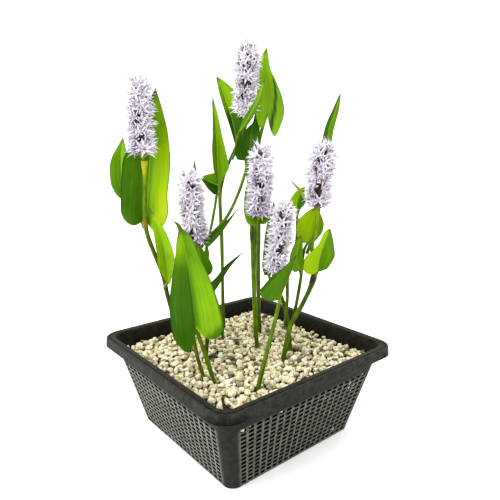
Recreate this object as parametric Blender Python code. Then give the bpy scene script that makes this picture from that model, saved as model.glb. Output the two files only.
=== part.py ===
"""Pickerelweed in a square planting basket, with soil and a gravel top.

Origin: centre of the basket's flat base. The basket's sides run along X and Y, +Z is up.
The plant is laid out in its own directions: across to the right, away from the basket's
front corner, and up. That layout is turned against the basket by plant_turn.
"""

import math

import bpy
from mathutils import Matrix, Vector, noise

# Basket, in millimetres
rim_width = 230.0
rim_corner = 19.5
rim_skirt = 9.5
rim_flare = 0.8
rim_chamfer = 0.8
sheet = 1.8
basket_height = 100.0
opening_width = 211.5
base_width = 165.0
wall_corner_top = 14.5
wall_corner_base = 11.0
inside_corner_loss = 1.0
corner_steps = 4
gap = 0.3

# Filling, in millimetres
gravel_bottom = 74.0
gravel_top = 87.0
gravel_cells = 22
gravel_lump = 2.3
gravel_uneven = 0.4
gravel_noise_step = 0.73
gravel_shift = 1.5
gravel_corner_cut = 4.2

# Plant, in millimetres and degrees
plant_turn = -39.4
foot_gap = 2.6
on_gravel = None
rings_each = 2
stem_sides = 8
stalk_sides = 6
joint_gap = 0.5
blade_thickness = 1.2
blade_rows = (0.0, 0.11, 0.24, 0.42, 0.62, 0.82, 1.0)
blade_columns = (-1.0, -0.5, 0.0, 0.5, 1.0)
blade_tip = 0.03
blade_fullness = 0.9
widest_share = 0.25
roll_start = 0.5
lobe_reach = 0.42
spike_sides = 12
spike_rows = 15
spike_foot = 0.32
spike_foot_rise = 3.4
spike_shoulder = 0.78
spike_top_loss = 0.62
spike_hollow = 0.74

mm = 0.001
turn = Matrix.Rotation(math.radians(plant_turn), 3, "Z")
materials = {}
joints = {}


def clear_scene():
    for old in list(bpy.data.objects):
        bpy.data.objects.remove(old, do_unlink=True)


def material(name, color, roughness):
    """One Principled material for each real material."""
    if name not in materials:
        made = bpy.data.materials.new(name)
        made.use_nodes = True
        shader = made.node_tree.nodes["Principled BSDF"]
        shader.inputs["Base Color"].default_value = (*color, 1.0)
        shader.inputs["Roughness"].default_value = roughness
        materials[name] = made
    return materials[name]


def plastic():
    return material("black_plastic", (0.020, 0.020, 0.021), 0.45)


def soil_crumb():
    return material("wet_soil", (0.012, 0.009, 0.007), 0.95)


def gravel_chips():
    return material("cream_gravel", (0.62, 0.54, 0.40), 0.85)


def leaf_skin():
    return material("leaf", (0.19, 0.36, 0.010), 0.38)


def stem_skin():
    return material("stem", (0.13, 0.18, 0.012), 0.42)


def petal():
    return material("florets", (0.66, 0.60, 0.78), 0.60)


def add_piece(name, points, faces, skin, crease=None):
    """Makes one closed object from points in millimetres."""
    mesh = bpy.data.meshes.new(name)
    mesh.from_pydata([tuple(Vector(point) * mm) for point in points], [], faces)
    mesh.materials.append(skin)
    mesh.update()
    if crease is not None:
        mesh.shade_smooth()
        mesh.set_sharp_from_angle(angle=math.radians(crease))
    piece = bpy.data.objects.new(name, mesh)
    bpy.context.collection.objects.link(piece)
    return piece


def rounded_square(half, corner, height):
    """Anticlockwise points of a square with round corners, at one height."""
    points = []
    for quarter in range(4):
        middle = math.radians(45 + 90 * quarter)
        centre_x = math.copysign(half - corner, math.cos(middle))
        centre_y = math.copysign(half - corner, math.sin(middle))
        for step in range(corner_steps + 1):
            angle = math.radians(90 * quarter + 90 * step / corner_steps)
            x = centre_x + corner * math.cos(angle)
            y = centre_y + corner * math.sin(angle)
            points.append(Vector((x, y, height)))
    return points


def skin_of_rings(rings):
    """Faces between rings of equal length, with a flat cap on the first and the last."""
    count = len(rings[0])
    points = [point for ring in rings for point in ring]
    faces = [tuple(reversed(range(count)))]
    for low in range(len(rings) - 1):
        for side in range(count):
            after = (side + 1) % count
            start, end = low * count, (low + 1) * count
            faces.append((start + side, start + after, end + after, end + side))
    top = (len(rings) - 1) * count
    faces.append(tuple(range(top, top + count)))
    return points, faces


def wall_half(height):
    """Half the width over the outside of the tapered wall, at a height."""
    top_half = opening_width / 2 + sheet
    return base_width / 2 + (top_half - base_width / 2) * height / basket_height


def wall_corner(height):
    return wall_corner_base + (wall_corner_top - wall_corner_base) * height / basket_height


def build_basket():
    """A tapered box, open on top, with a flat rim turned down into a skirt."""
    rim = rim_width / 2
    under = basket_height - sheet
    skirt = basket_height - rim_skirt
    inside = [
        (wall_half(sheet) - sheet, wall_corner(sheet) - inside_corner_loss, sheet),
        (opening_width / 2, wall_corner_top - sheet, basket_height),
    ]
    rim_outside = [
        (rim - rim_chamfer, rim_corner - rim_chamfer, basket_height),
        (rim, rim_corner, basket_height - rim_chamfer),
        (rim + rim_flare, rim_corner, skirt),
        (rim + rim_flare - sheet, rim_corner - sheet, skirt),
        (rim - sheet, rim_corner - sheet, under),
    ]
    wall_outside = [
        (wall_half(under), wall_corner_top, under),
        (wall_half(0), wall_corner_base, 0.0),
    ]
    # The rings run from the underside up the wall, round the rim, and down the inside
    order = wall_outside[::-1] + rim_outside[::-1] + inside[::-1]
    rings = [rounded_square(half, corner, height) for half, corner, height in order]
    points, faces = skin_of_rings(rings)
    return add_piece("planting_basket", points, faces, plastic(), crease=40)


def build_soil():
    low, high = sheet + gap, gravel_bottom
    rings = []
    for height in (low, high):
        half = wall_half(height) - sheet - 2 * gap
        rings.append(rounded_square(half, wall_corner(height) - inside_corner_loss, height))
    points, faces = skin_of_rings(rings)
    return add_piece("soil", points, faces, soil_crumb())


def gravel_room(height):
    """Half the width that the wall leaves for the filling at a height."""
    return wall_half(height) - sheet - 2 * gap


def gravel_level(row, column):
    """Height of a point of the gravel's grid: lumps and hollows in turn, each a little different."""
    swing = 1 + gravel_uneven * noise.noise(Vector((column, row, 0)) * gravel_noise_step)
    return gravel_top + gravel_lump * swing * (-1 if (row + column) % 2 else 1)


def gravel_point(row, column):
    half = gravel_room(gravel_top)
    x = (2 * column / gravel_cells - 1) * half
    y = (2 * row / gravel_cells - 1) * half
    height = gravel_level(row, column)
    reach = gravel_room(height)
    ends = (row in (0, gravel_cells)) + (column in (0, gravel_cells))
    if ends == 2:
        reach -= gravel_corner_cut
    if ends == 0:
        shift = noise.noise_vector(Vector((column, row, gravel_cells)) * gravel_noise_step)
        x += gravel_shift * shift.x
        y += gravel_shift * shift.y
    return Vector((max(-reach, min(reach, x)), max(-reach, min(reach, y)), height))


def gravel_height(x, y):
    """Height of the gravel's top, whose lumps have flat sides that meet along the hollows."""
    half = gravel_room(gravel_top)
    column, u = divmod((x / half + 1) / 2 * gravel_cells, 1)
    row, v = divmod((y / half + 1) / 2 * gravel_cells, 1)
    near, far = column, column + 1
    if (row + column) % 2:
        near, far, u = far, near, 1 - u
    across, away = gravel_level(row, far), gravel_level(row + 1, near)
    if u + v < 1:
        lump = gravel_level(row, near)
        return lump + u * (across - lump) + v * (away - lump)
    lump = gravel_level(row + 1, far)
    return lump + (1 - u) * (away - lump) + (1 - v) * (across - lump)


def build_gravel():
    """The top dressing: one solid whose top is a field of lumps."""
    wide = gravel_cells + 1
    points = [gravel_point(row, column) for row in range(wide) for column in range(wide)]
    faces = []
    for row in range(gravel_cells):
        for column in range(gravel_cells):
            a = row * wide + column
            b, c, d = a + 1, a + 1 + wide, a + wide
            faces += [(a, b, c), (a, c, d)] if (row + column) % 2 else [(a, b, d), (b, c, d)]
    edge = list(range(wide))
    edge += [row * wide + wide - 1 for row in range(1, wide)]
    edge += [gravel_cells * wide + column for column in range(wide - 2, -1, -1)]
    edge += [row * wide for row in range(wide - 2, 0, -1)]
    low = gravel_bottom + gap
    under = len(points)
    for corner in edge:
        above = points[corner]
        shrink = gravel_room(low) / gravel_room(above.z)
        points.append(Vector((above.x * shrink, above.y * shrink, low)))
    for step, corner in enumerate(edge):
        after = (step + 1) % len(edge)
        faces.append((under + step, under + after, edge[after], corner))
    faces.append(tuple(reversed(range(under, under + len(edge)))))
    return add_piece("gravel", points, faces, gravel_chips())


def smooth_point(route, share):
    """A point on the smooth curve through a route's points."""
    last = len(route) - 1
    part = min(int(share * last), last - 1)
    t = share * last - part
    here, there = route[part], route[part + 1]
    before = route[part - 1] if part > 0 else here * 2 - there
    after = route[part + 2] if part + 2 <= last else there * 2 - here
    straight = 2 * here + (there - before) * t
    bend = (2 * before - 5 * here + 4 * there - after) * t * t
    twist = (3 * here - before - 3 * there + after) * t * t * t
    return (straight + bend + twist) / 2


def smooth_direction(route, share):
    step = 0.02
    ahead = smooth_point(route, min(share + step, 1.0))
    behind = smooth_point(route, max(share - step, 0.0))
    return (ahead - behind).normalized()


def layout(points):
    """Points in the plant's own directions. One without a height stands on the gravel."""
    placed = []
    for across, away, height in points:
        if height is None:
            spot = turn @ Vector((across, away, 0))
            height = gravel_height(spot.x, spot.y) + foot_gap
        placed.append(Vector((across, away, height)))
    return placed


def to_world(points):
    return [turn @ point for point in points]


def tube(name, route, radii, sides):
    """A round stem along a route, tapering from the first radius to the last."""
    count = rings_each * (len(route) - 1) + 1
    rings = []
    across = Vector((1, 0, 0))
    for ring in range(count):
        share = ring / (count - 1)
        centre = smooth_point(route, share)
        along = smooth_direction(route, share)
        across = (across - along * across.dot(along)).normalized()
        beside = along.cross(across)
        radius = radii[0] + (radii[1] - radii[0]) * share
        points = []
        for side in range(sides):
            angle = 2 * math.pi * side / sides
            offset = across * math.cos(angle) + beside * math.sin(angle)
            points.append(centre + offset * radius)
        rings.append(to_world(points))
    points, faces = skin_of_rings(rings)
    return add_piece(name, points, faces, stem_skin(), crease=50)


def flower_stem(name, route, radii=(2.5, 2.0)):
    return tube("flower_stem_" + name, layout(route), radii, stem_sides)


def flower_spike(name, route, radius):
    """A bumpy closed body of the spike's form, whose bumps reach the tips of the florets."""
    route = layout(route)
    across = Vector((1, 0, 0))
    rings = []
    for row in range(spike_rows):
        share = row / (spike_rows - 1)
        centre = smooth_point(route, share)
        along = smooth_direction(route, share)
        across = (across - along * across.dot(along)).normalized()
        beside = along.cross(across)
        top = max(0.0, share - spike_shoulder) / (1 - spike_shoulder)
        swell = min(1.0, spike_foot + spike_foot_rise * share) * (1 - spike_top_loss * top)
        points = []
        for side in range(spike_sides):
            angle = 2 * math.pi * side / spike_sides
            bump = 1.0 if (side + row) % 2 else spike_hollow
            offset = across * math.cos(angle) + beside * math.sin(angle)
            points.append(centre + offset * radius * swell * bump)
        rings.append(to_world(points))
    points, faces = skin_of_rings(rings)
    return add_piece("flower_spike_" + name, points, peaked(faces), petal())


def peaked(faces):
    """Splits a spike's quads between their low corners, so that each bump is a peak."""
    split = []
    for a, b, c, d in faces[1:-1]:
        row, side = divmod(a, spike_sides)
        if (side + row) % 2:
            split += [(a, b, d), (b, c, d)]
        else:
            split += [(a, b, c), (a, c, d)]
    return [faces[0]] + split + [faces[-1]]


def blade_width(share, base, taper):
    """Relative half width of a blade, from its joint (0) to its tip (1)."""
    start = min(share / widest_share, 1.0)
    rise = base + (1 - base) * start * start * (3 - 2 * start)
    return max(blade_tip, rise * (1 - min(share, 1.0) ** taper) ** blade_fullness)


def half_width(width, row, reach, base, taper):
    """Half width at a row of a blade: a listed one, or from the common form of a leaf."""
    if isinstance(width, tuple):
        return width[row]
    return width * blade_width(blade_rows[row] / reach, base, taper)


def blade_frame(route, share, facing):
    """Point, direction along, face normal and rightward direction at a place on the midrib."""
    along = smooth_direction(route, share)
    normal = (facing - along * facing.dot(along)).normalized()
    return smooth_point(route, share), along, normal, along.cross(normal)


def lobe_share(column, lobe):
    """How much of a lobe's length hangs at a place between midrib (0) and margin (1).

    A lobe is longest halfway out and half as long at the margin.
    """
    if lobe < 0:
        return column
    return min(2 * column, 1.5 - column)


def leaf(name, route, facing, widths, folds=(20, 20), lobes=(0, 0), base=0.8, taper=2.0,
         reach=(1.0, 1.0), roll=(0, 0)):
    """A blade folded along its midrib, from its joint to its tip.

    widths, folds, lobes, reach and roll hold the left and the right half, as seen with the
    blade's face in front and its tip up. A width is the widest one or a list, one for each
    row. Lobes hang back past the joint, and a negative lobe rounds the base off instead. Roll
    turns the outer part of a half on from its fold.
    """
    route = layout(route)
    facing = Vector(facing).normalized()
    front, back = [], []
    for row, share in enumerate(blade_rows):
        centre, along, normal, right = blade_frame(route, share, facing)
        hang = max(0.0, 1 - share / lobe_reach) ** 2
        line = []
        for column in blade_columns:
            half = 1 if column > 0 else 0
            sign = 1 if half else -1
            width = half_width(widths[half], row, reach[half], base, taper)
            inner = math.radians(folds[half])
            outer = math.radians(folds[half] + roll[half])
            out = min(abs(column), roll_start) * width
            far = max(abs(column) - roll_start, 0.0) * width
            side = right * sign * (out * math.cos(inner) + far * math.cos(outer))
            lift = normal * (out * math.sin(inner) + far * math.sin(outer))
            hung = lobe_share(abs(column), lobes[half])
            line.append(centre + side + lift - along * lobes[half] * hang * hung)
        for point, column in zip(line, blade_columns):
            half = 1 if column > 0 else 0
            lean = math.radians(folds[half] + roll[half] * (abs(column) > roll_start))
            sign = -1 if half else 1
            tilt = normal if column == 0 else normal * math.cos(lean) + right * sign * math.sin(lean)
            front.append(point + tilt * blade_thickness / 2)
            back.append(point - tilt * blade_thickness / 2)
    joints[name] = (route[0], blade_frame(route, 0.0, facing)[2])
    return add_piece("leaf_" + name, to_world(front + back), sheet_faces(), leaf_skin(), crease=50)


def sheet_faces():
    """Faces of a thin closed sheet: front grid, back grid and the edge between them."""
    wide, tall = len(blade_columns), len(blade_rows)
    under = wide * tall
    faces = []
    for row in range(tall - 1):
        for column in range(wide - 1):
            a = row * wide + column
            quad = (a, a + 1, a + 1 + wide, a + wide)
            faces.append(quad)
            faces.append(tuple(under + corner for corner in reversed(quad)))
    edge = list(range(wide))
    edge += [row * wide + wide - 1 for row in range(1, tall)]
    edge += [(tall - 1) * wide + column for column in range(wide - 2, -1, -1)]
    edge += [row * wide for row in range(tall - 2, 0, -1)]
    for first, second in zip(edge, edge[1:] + edge[:1]):
        faces.append((second, first, under + first, under + second))
    return faces


def stalk(leaf_name, route, radii=(1.9, 1.5)):
    """A leaf's stalk, whose last point lies behind the blade at its joint."""
    joint, normal = joints[leaf_name]
    end = joint - normal * (radii[1] + blade_thickness / 2 + joint_gap)
    name = "leaf_" + leaf_name + "_stalk"
    return tube(name, layout(route) + [end], radii, stalk_sides)


def build_flower_stems():
    flower_stem("left", [(-64, 12, on_gravel), (-74, 2, 118), (-79.5, -10, 151), (-82.5, -20, 180),
                         (-88, -34, 207), (-91, -47, 229), (-91, -50, 247), (-89, -53, 273),
                         (-88, -55, 295)])
    flower_stem("left_inner", [(-41, -9, on_gravel), (-39, -12, 110), (-40, -20, 152),
                               (-42, -28, 186), (-45, -33, 212)])
    flower_stem("tall", [(14, 13, on_gravel), (12, 12, 130), (10, 10, 187), (9, 14, 231),
                         (6, 20, 268), (3, 23, 298), (1, 20, 318), (1.5, 12, 332)])
    flower_stem("middle", [(18, 60, on_gravel), (16.6, 42, 131), (16, 20, 185), (16, -2, 215),
                           (15.7, -12, 234)])
    flower_stem("low", [(51, 8, on_gravel), (47, 9, 124), (41, 0, 147), (34, -14, 164),
                        (30, -20.5, 176)])
    flower_stem("right", [(42.7, -17, on_gravel), (45.9, -15, 105), (50, -13, 122), (59.5, -11, 139),
                          (66, -10, 152), (71, -9, 164), (74.5, -7, 177), (73.9, -5, 188),
                          (71.7, -4, 201), (72.8, -3, 211), (76, -2, 225), (76.4, -2, 244)],
                radii=(2.8, 1.8))


def build_flower_spikes():
    flower_spike("left", [(-88.3, -55, 296), (-88.2, -56, 331), (-86.9, -56, 366)], 14.5)
    flower_spike("left_inner", [(-45.1, -33, 213), (-48.7, -36, 248), (-49.3, -38, 284)], 15.0)
    flower_spike("tall", [(1.5, 11, 334), (3.7, 9, 371), (6.8, 7, 408)], 14.5)
    flower_spike("middle", [(15.7, -12, 235), (17, -15, 274), (18.5, -18, 311)], 15.0)
    flower_spike("low", [(30, -22, 178), (36.5, -24, 216), (41.5, -26, 252)], 15.0)
    flower_spike("right", [(76.1, -2, 245), (78, -4, 278), (81.9, -6, 310)], 15.5)


def build_left_leaves():
    leaf("left_large", [(-92, -43, 242), (-90, -38, 267), (-87, -34, 300), (-83, -33, 333),
                        (-79, -34, 360)],
         (0.15, -1, 0.1), ((24.5, 25, 26, 26, 21, 13, 1), (23, 23, 21, 22, 18, 9, 1)),
         folds=(26, 26), lobes=(9, 13))
    leaf("left_rear", [(-115, -22, 261), (-118, -20, 280), (-118, -18, 299), (-116, -16, 316)],
         (-0.2, -1, 0), (12, 12), lobes=(3, 3), base=0.7)
    leaf("left_inner", [(-76, -26, 172), (-75, -38, 197), (-75, -50, 216), (-78, -58, 234),
                        (-84, -62, 253)],
         (0.2, -1, 0), (10, 10), folds=(30, 30), base=0.3, taper=2.4)
    stalk("left_rear", [(-94, -42, 232), (-103, -26, 246)])


def build_front_leaves():
    leaf("front_large", [(-43, -76, 142), (-45, -79, 171), (-48, -80, 200), (-51, -80, 222),
                         (-55, -79, 238)],
         (0.12, -1, 0.05), ((23, 24, 24, 18.5, 11.5, 5.5, 1), (27.5, 27.5, 25, 19.5, 12.5, 6.5, 1)),
         folds=(26, 26), lobes=(20, 9))
    leaf("front_rear", [(-40, -36, 185), (-41, -42, 200), (-44, -48, 219)],
         (0.3, -1, 0), (11, 12), lobes=(3, 3), taper=1.6)
    leaf("front_folded", [(-37, -22, 208), (-28, -19, 216), (-18, -16, 228), (-5, -12, 246)],
         (-0.7, -0.2, 0.65), (9, 9), folds=(62, 62), taper=1.3)
    leaf("front_narrow", [(-40, -5, 145), (-27, 0, 163), (-15, 5, 181), (0, 10, 197)],
         (-0.7, -0.3, 0.65), (10, 10), folds=(60, 60), taper=1.2)
    leaf("left_middle", [(-46, -28, 207), (-47, -12, 232), (-47, -10, 262), (-48, -12, 295)],
         (0, -1, 0), (9, 9), folds=(15, 15), base=0.4, taper=1.6)
    stalk("front_large", [(-30, -67, on_gravel), (-36, -67, 112), (-41, -70, 130)], (2.3, 1.9))
    stalk("front_folded", [(-38, -23, 190), (-36, -20, 200)])
    stalk("front_narrow", [(-34, 50, on_gravel), (-42, 30, 114)])


def build_tall_leaves():
    leaf("tall_spear", [(-26, 28, 269), (-27, 26, 293), (-28, 24, 324), (-31, 22, 357)],
         (0, -1, 0), ((2, 5, 8.5, 9, 6.5, 3, 1), (1.5, 7, 12.5, 10, 6, 3.5, 1)), folds=(60, 20))
    leaf("dark_heart", [(-29, 52, 264), (-36, 51, 267), (-42, 50, 270), (-49, 48, 273)],
         (0, -1, 0.3), (13, 18), folds=(15, 15), lobes=(2, 2), base=1.0, taper=1.1)
    leaf("top_left", [(-7, 26, 308), (-10, 28, 329), (-16, 30, 349), (-22, 31, 367), (-27, 31, 378)],
         (0.1, -1, 0), ((1.5, 4, 7, 8, 7.5, 4.5, 1), (1.5, 9, 15, 17, 12.5, 5.5, 1)),
         folds=(55, 12))
    leaf("top_dark", [(6, 6, 293), (8, 14, 318), (13, 29, 342), (16, 36, 358)],
         (0, -1, 0.3), (16, 11), folds=(12, 12), lobes=(1, 6), base=0.9, taper=1.6,
         reach=(0.5, 1))
    leaf("top_narrow", [(-3, 0, 322), (7, -6, 336), (16, -8, 353), (22, -2, 372)],
         (-0.3, -1, 0.2), (4.5, 4.5), folds=(20, 20), base=0.3)
    leaf("top_right", [(25, 19, 341), (26, 29, 363), (24, 35, 387), (25, 37, 407)],
         (0.1, -1, 0.2), ((14, 14, 13, 12, 10, 6, 1), (18, 18, 15.5, 10.5, 5.5, 3, 1)),
         folds=(22, 12), lobes=(19, 24), roll=(0, 14))
    stalk("tall_spear", [(-26, 42, on_gravel), (-25, 40, 144), (-25, 36, 193), (-26, 32, 239)])
    stalk("dark_heart", [(-40, 60, on_gravel), (-43, 56, 140), (-45, 54, 183), (-38, 54, 215),
                         (-33, 55, 240)])
    stalk("top_left", [(-26, 75, on_gravel), (-26, 60, 145), (-25, 48, 202), (-26, 41, 249),
                       (-22, 37, 273), (-14, 32, 293)])
    stalk("top_dark", [(-40, -60, on_gravel), (-48, -52, 116), (-53, -40, 159), (-49, -24, 193),
                       (-38, -10, 213), (-18, -2, 234), (-4, -1, 262)])
    stalk("top_narrow", [(-11, 24, 294), (-8, 12, 302), (-6, 5, 314)], (1.3, 1.1))
    stalk("top_right", [(19, 75, on_gravel), (16, 60, 138), (14, 46, 202), (14, 40, 260),
                        (17, 29, 310)])


def build_middle_leaves():
    leaf("middle", [(16, -7, 231), (13, 3, 248), (11, 6, 265), (12, 7, 283)],
         (0, -1, 0.1), (14, 12), folds=(8, 12), lobes=(3, 4), base=0.9)
    leaf("low_rear", [(26, -13, 176), (27, -5, 192), (28, -3, 223), (32, -3, 253)],
         (0, -1, 0), (8, 9), folds=(12, 12), base=0.7)
    leaf("low_boat", [(35, -55, 164), (40, -55, 178), (46, -54, 192), (51, -52, 207)],
         (-0.9, 0, 0.38), (23, 23), folds=(76, 76), lobes=(4, 4), base=1.0, taper=1.0)
    stalk("low_boat", [(15, -81, on_gravel), (20, -76, 109), (27, -66, 132), (32, -58, 149)],
          (2.3, 1.8))


def build_right_leaves():
    leaf("right_heart", [(68.5, 6, 207), (73, 11, 217), (76, 14, 228), (78, 17, 244)],
         (-0.1, -1, 0.2), ((12, 15.5, 17.5, 18.5, 18, 12, 3), (2.5, 7, 9, 11.5, 11, 6.5, 2)),
         folds=(14, 24), lobes=(3, 1))
    leaf("right_inner", [(58, -8, 181), (55.6, -9, 194), (57.5, -9, 207), (59.5, -8, 217)],
         (0, -1, 0), (9, 7), folds=(14, 14), lobes=(2, 2))
    leaf("right_low", [(77, -12, 180), (79, -12, 196), (84, -11, 212), (89, -10, 225)],
         (-0.1, -1, 0.1), ((15.5, 16.5, 16, 9, 5, 4.5, 1), (2.5, 10.5, 13.5, 15.5, 11.5, 6, 1)),
         folds=(18, 28), lobes=(4, 0))
    leaf("right_spear", [(66, 13, 251), (58, 7, 262), (49, 2, 273)],
         (0.5, -0.6, 0.6), (4.6, 4.6), base=0.5, taper=1.4)
    leaf("right_small", [(57, 12, 237), (57, 15, 246), (60, 18, 256), (66, 20, 265)],
         (-0.2, -1, 0.1), (10, 9), lobes=(-2, -7))
    leaf("right_tall", [(82, 17, 261), (85, 19, 293), (89, 18, 323), (95, 15, 343), (99, 12, 360)],
         (0, -1, 0), (6, 6), folds=(25, 25), base=0.4, taper=2.6)
    stalk("right_heart", [(54, -3, 128), (58, -3, 152), (60.7, -3, 171), (61.6, -2, 185),
                          (64.3, 2, 200)])
    stalk("right_small", [(44, -9, 118), (46.5, -3, 147), (47, 1, 168), (52, 8, 186), (57, 12, 210)])
    stalk("right_tall", [(68, 10, 194), (76, 20, 212), (81, 23, 235)])


clear_scene()
build_basket()
build_soil()
build_gravel()
build_flower_stems()
build_flower_spikes()
build_left_leaves()
build_front_leaves()
build_tall_leaves()
build_middle_leaves()
build_right_leaves()
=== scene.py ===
import math
import random
from functools import partial

import bpy
import bmesh
import numpy as np
from mathutils import Matrix, Vector, noise


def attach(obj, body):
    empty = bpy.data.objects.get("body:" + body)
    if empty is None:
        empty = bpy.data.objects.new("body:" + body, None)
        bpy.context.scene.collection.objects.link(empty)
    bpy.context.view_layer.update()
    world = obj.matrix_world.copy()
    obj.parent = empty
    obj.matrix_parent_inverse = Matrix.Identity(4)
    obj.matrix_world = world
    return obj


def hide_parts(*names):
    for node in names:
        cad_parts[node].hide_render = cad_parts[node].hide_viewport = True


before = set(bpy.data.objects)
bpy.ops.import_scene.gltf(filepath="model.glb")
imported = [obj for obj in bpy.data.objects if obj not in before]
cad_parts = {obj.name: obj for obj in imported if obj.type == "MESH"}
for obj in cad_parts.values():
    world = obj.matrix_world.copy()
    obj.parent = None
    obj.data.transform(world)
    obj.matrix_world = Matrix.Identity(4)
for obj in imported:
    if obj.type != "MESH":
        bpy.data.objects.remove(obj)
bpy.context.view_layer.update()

mm = 0.001
plantTurn = Matrix.Rotation(math.radians(-39.4), 3, "Z")  # plant's across, away, up to the basket's axes
print("frame loaded")


def toLinear(code):  # sRGB hex to the linear colour that a shader takes
    parts = [int(code[at:at + 2], 16) / 255 for at in (1, 3, 5)]
    return tuple(p / 12.92 if p <= 0.04045 else ((p + 0.055) / 1.055) ** 2.4 for p in parts) + (1.0,)


def addNode(tree, kind, inputs=None, to=None, stops=None, **settings):
    # An input takes a value, a socket or a node's first output; to is the socket that the new node feeds
    def outputOf(source):
        return next(output for output in source.outputs if output.enabled)

    node = tree.nodes.new("ShaderNode" + kind)
    for name, value in settings.items():
        setattr(node, name, value)
    for name, value in (inputs or {}).items():
        if isinstance(value, bpy.types.Node):
            value = outputOf(value)
        if isinstance(value, bpy.types.NodeSocket):
            tree.links.new(value, node.inputs[name])
        else:
            node.inputs[name].default_value = value
    if stops:
        ramp = node.color_ramp.elements
        while len(ramp) < len(stops):
            ramp.new(1.0)
        for element, (place, color) in zip(ramp, stops):
            element.position = place
            element.color = toLinear(color)
    if to is not None:
        tree.links.new(outputOf(node), to)
    return node


def easeStep(low, high, value):
    t = max(0.0, min(1.0, (value - low) / (high - low)))
    return t * t * (3 - 2 * t)


def newFinish(name, roughness, ior, specular=0.5):
    # Gives the material, a function that adds a node to it, and the sockets of its shader
    finish = bpy.data.materials.new(name)
    finish.use_nodes = True
    skin = finish.node_tree.nodes["Principled BSDF"].inputs
    for label, value in (("Roughness", roughness), ("IOR", ior), ("Specular IOR Level", specular)):
        skin[label].default_value = value
    return finish, partial(addNode, finish.node_tree), skin


def ringFaces(rows, sides, start=0):
    # Faces that join rings of points, listed from the lowest ring up, and close both ends
    first = [start + row * sides for row in range(rows)]
    faces = []
    for low, high in zip(first, first[1:]):
        for at in range(sides):
            after = (at + 1) % sides
            faces.append((low + at, low + after, high + after, high + at))
    faces.append(tuple(reversed(range(start, start + sides))))
    faces.append(tuple(range(first[-1], first[-1] + sides)))
    return faces


def addPiece(name, points, faces, finish, slot, replaced, crease=60, **layers):
    # points are in millimetres; a layer holds a number, a place or a colour for each point
    mesh = bpy.data.meshes.new(name)
    mesh.from_pydata((np.asarray(points, float) * mm).tolist(), [], faces)
    mesh.materials.append(finish)
    for label, values in layers.items():
        values = np.asarray(values, np.float32)
        each = values.size // len(points)
        if each == 4:
            mesh.color_attributes.new(label, "FLOAT_COLOR", "POINT").data.foreach_set("color", values.ravel())
        else:
            kind, field = ("FLOAT", "value") if each == 1 else ("FLOAT_VECTOR", "vector")
            mesh.attributes.new(label, kind, "POINT").data.foreach_set(field, values.ravel())
    mesh.update()
    mesh.shade_smooth()
    mesh.set_sharp_from_angle(angle=math.radians(crease))
    piece = bpy.data.objects.new(name, mesh)
    bpy.context.scene.collection.objects.link(piece)
    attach(piece, "root")
    if replaced:
        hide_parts(*replaced)
    return piece


def mottledTint(name, roughness, ior, specular, grain, shades, bump):
    # The colour of each point under one fine noise. grain is its scale for each metre, its detail and its
    # roughness; shades are two of its values and how light they leave the colour; bump is strength and depth
    finish, add, skin = newFinish(name, roughness, ior, specular)
    color = add("Attribute", attribute_name="tint").outputs["Color"]
    place = add("TexCoord").outputs["Object"]
    fine = add("TexNoise", {"Vector": place, "Scale": grain[0], "Detail": grain[1], "Roughness": grain[2]})
    shade = add("MapRange", {"Value": fine, "From Min": shades[0], "From Max": shades[1],
                             "To Min": shades[2], "To Max": shades[3]})
    add("VectorMath", {"Vector": color, "Scale": shade}, to=skin["Base Color"], operation="SCALE")
    add("Bump", {"Strength": bump[0], "Distance": bump[1], "Height": fine}, to=skin["Normal"])
    return finish, skin


def crumblyGround(name, roughness, ior, grain, stops):
    # Grains in two colours that stand out from the ground; grain as above
    finish, add, skin = newFinish(name, roughness, ior)
    place = add("TexCoord").outputs["Object"]
    grains = add("TexNoise", {"Vector": place, "Scale": grain[0], "Detail": grain[1], "Roughness": grain[2]})
    add("ValToRGB", {"Fac": grains}, to=skin["Base Color"], stops=stops)
    add("Bump", {"Strength": 0.8, "Distance": 1 * mm, "Height": grains}, to=skin["Normal"])
    return finish


def mottledTone(add, layers, ramp):
    # The tone of each point, varied by noises drawn out to sizes in millimetres, then turned into a colour
    tone = add("Attribute", attribute_name="tone").outputs["Fac"]
    plan = add("Attribute", attribute_name="plan").outputs["Vector"]
    noises = []
    for sizes, detail, amount in layers:
        stretched = add("Mapping", {"Vector": plan, "Scale": [1 / size for size in sizes]})
        noises.append(add("TexNoise", {"Vector": stretched, "Scale": 1.0, "Detail": detail}))
        tone = add("Math", {0: noises[-1], 1: amount, 2: tone}, operation="MULTIPLY_ADD")
    centred = add("Math", {0: tone, 1: sum(amount for _, _, amount in layers) / 2}, operation="SUBTRACT")
    return add("ValToRGB", {"Fac": centred}, stops=ramp), noises


# Camera, floor and light

photoView = {
    "turn": -39.38, "tilt": 12.24, "roll": -0.24,  # degrees
    "distance": 522.58, "across": 8.93, "height": 199.06,  # millimetres
    "lens": 35.34,  # millimetres on a 36 mm sensor
}


def buildCamera():
    turn, tilt = math.radians(photoView["turn"]), math.radians(photoView["tilt"])
    back = Vector((math.sin(turn) * math.cos(tilt), -math.cos(turn) * math.cos(tilt), math.sin(tilt)))
    right = Vector((math.cos(turn), math.sin(turn), 0))
    lens = bpy.data.cameras.new("photo_camera")
    lens.sensor_width = 36
    lens.lens = photoView["lens"]
    lens.clip_start = 0.01
    camera = bpy.data.objects.new("photo_camera", lens)
    bpy.context.scene.collection.objects.link(camera)
    target = Vector((photoView["across"], 0, photoView["height"])) * mm
    axes = Matrix((right, back.cross(right), back)).transposed().to_4x4()
    roll = Matrix.Rotation(math.radians(photoView["roll"]), 4, "Z")
    camera.matrix_world = Matrix.Translation(target + back * photoView["distance"] * mm) @ axes @ roll
    bpy.context.scene.camera = camera


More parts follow.
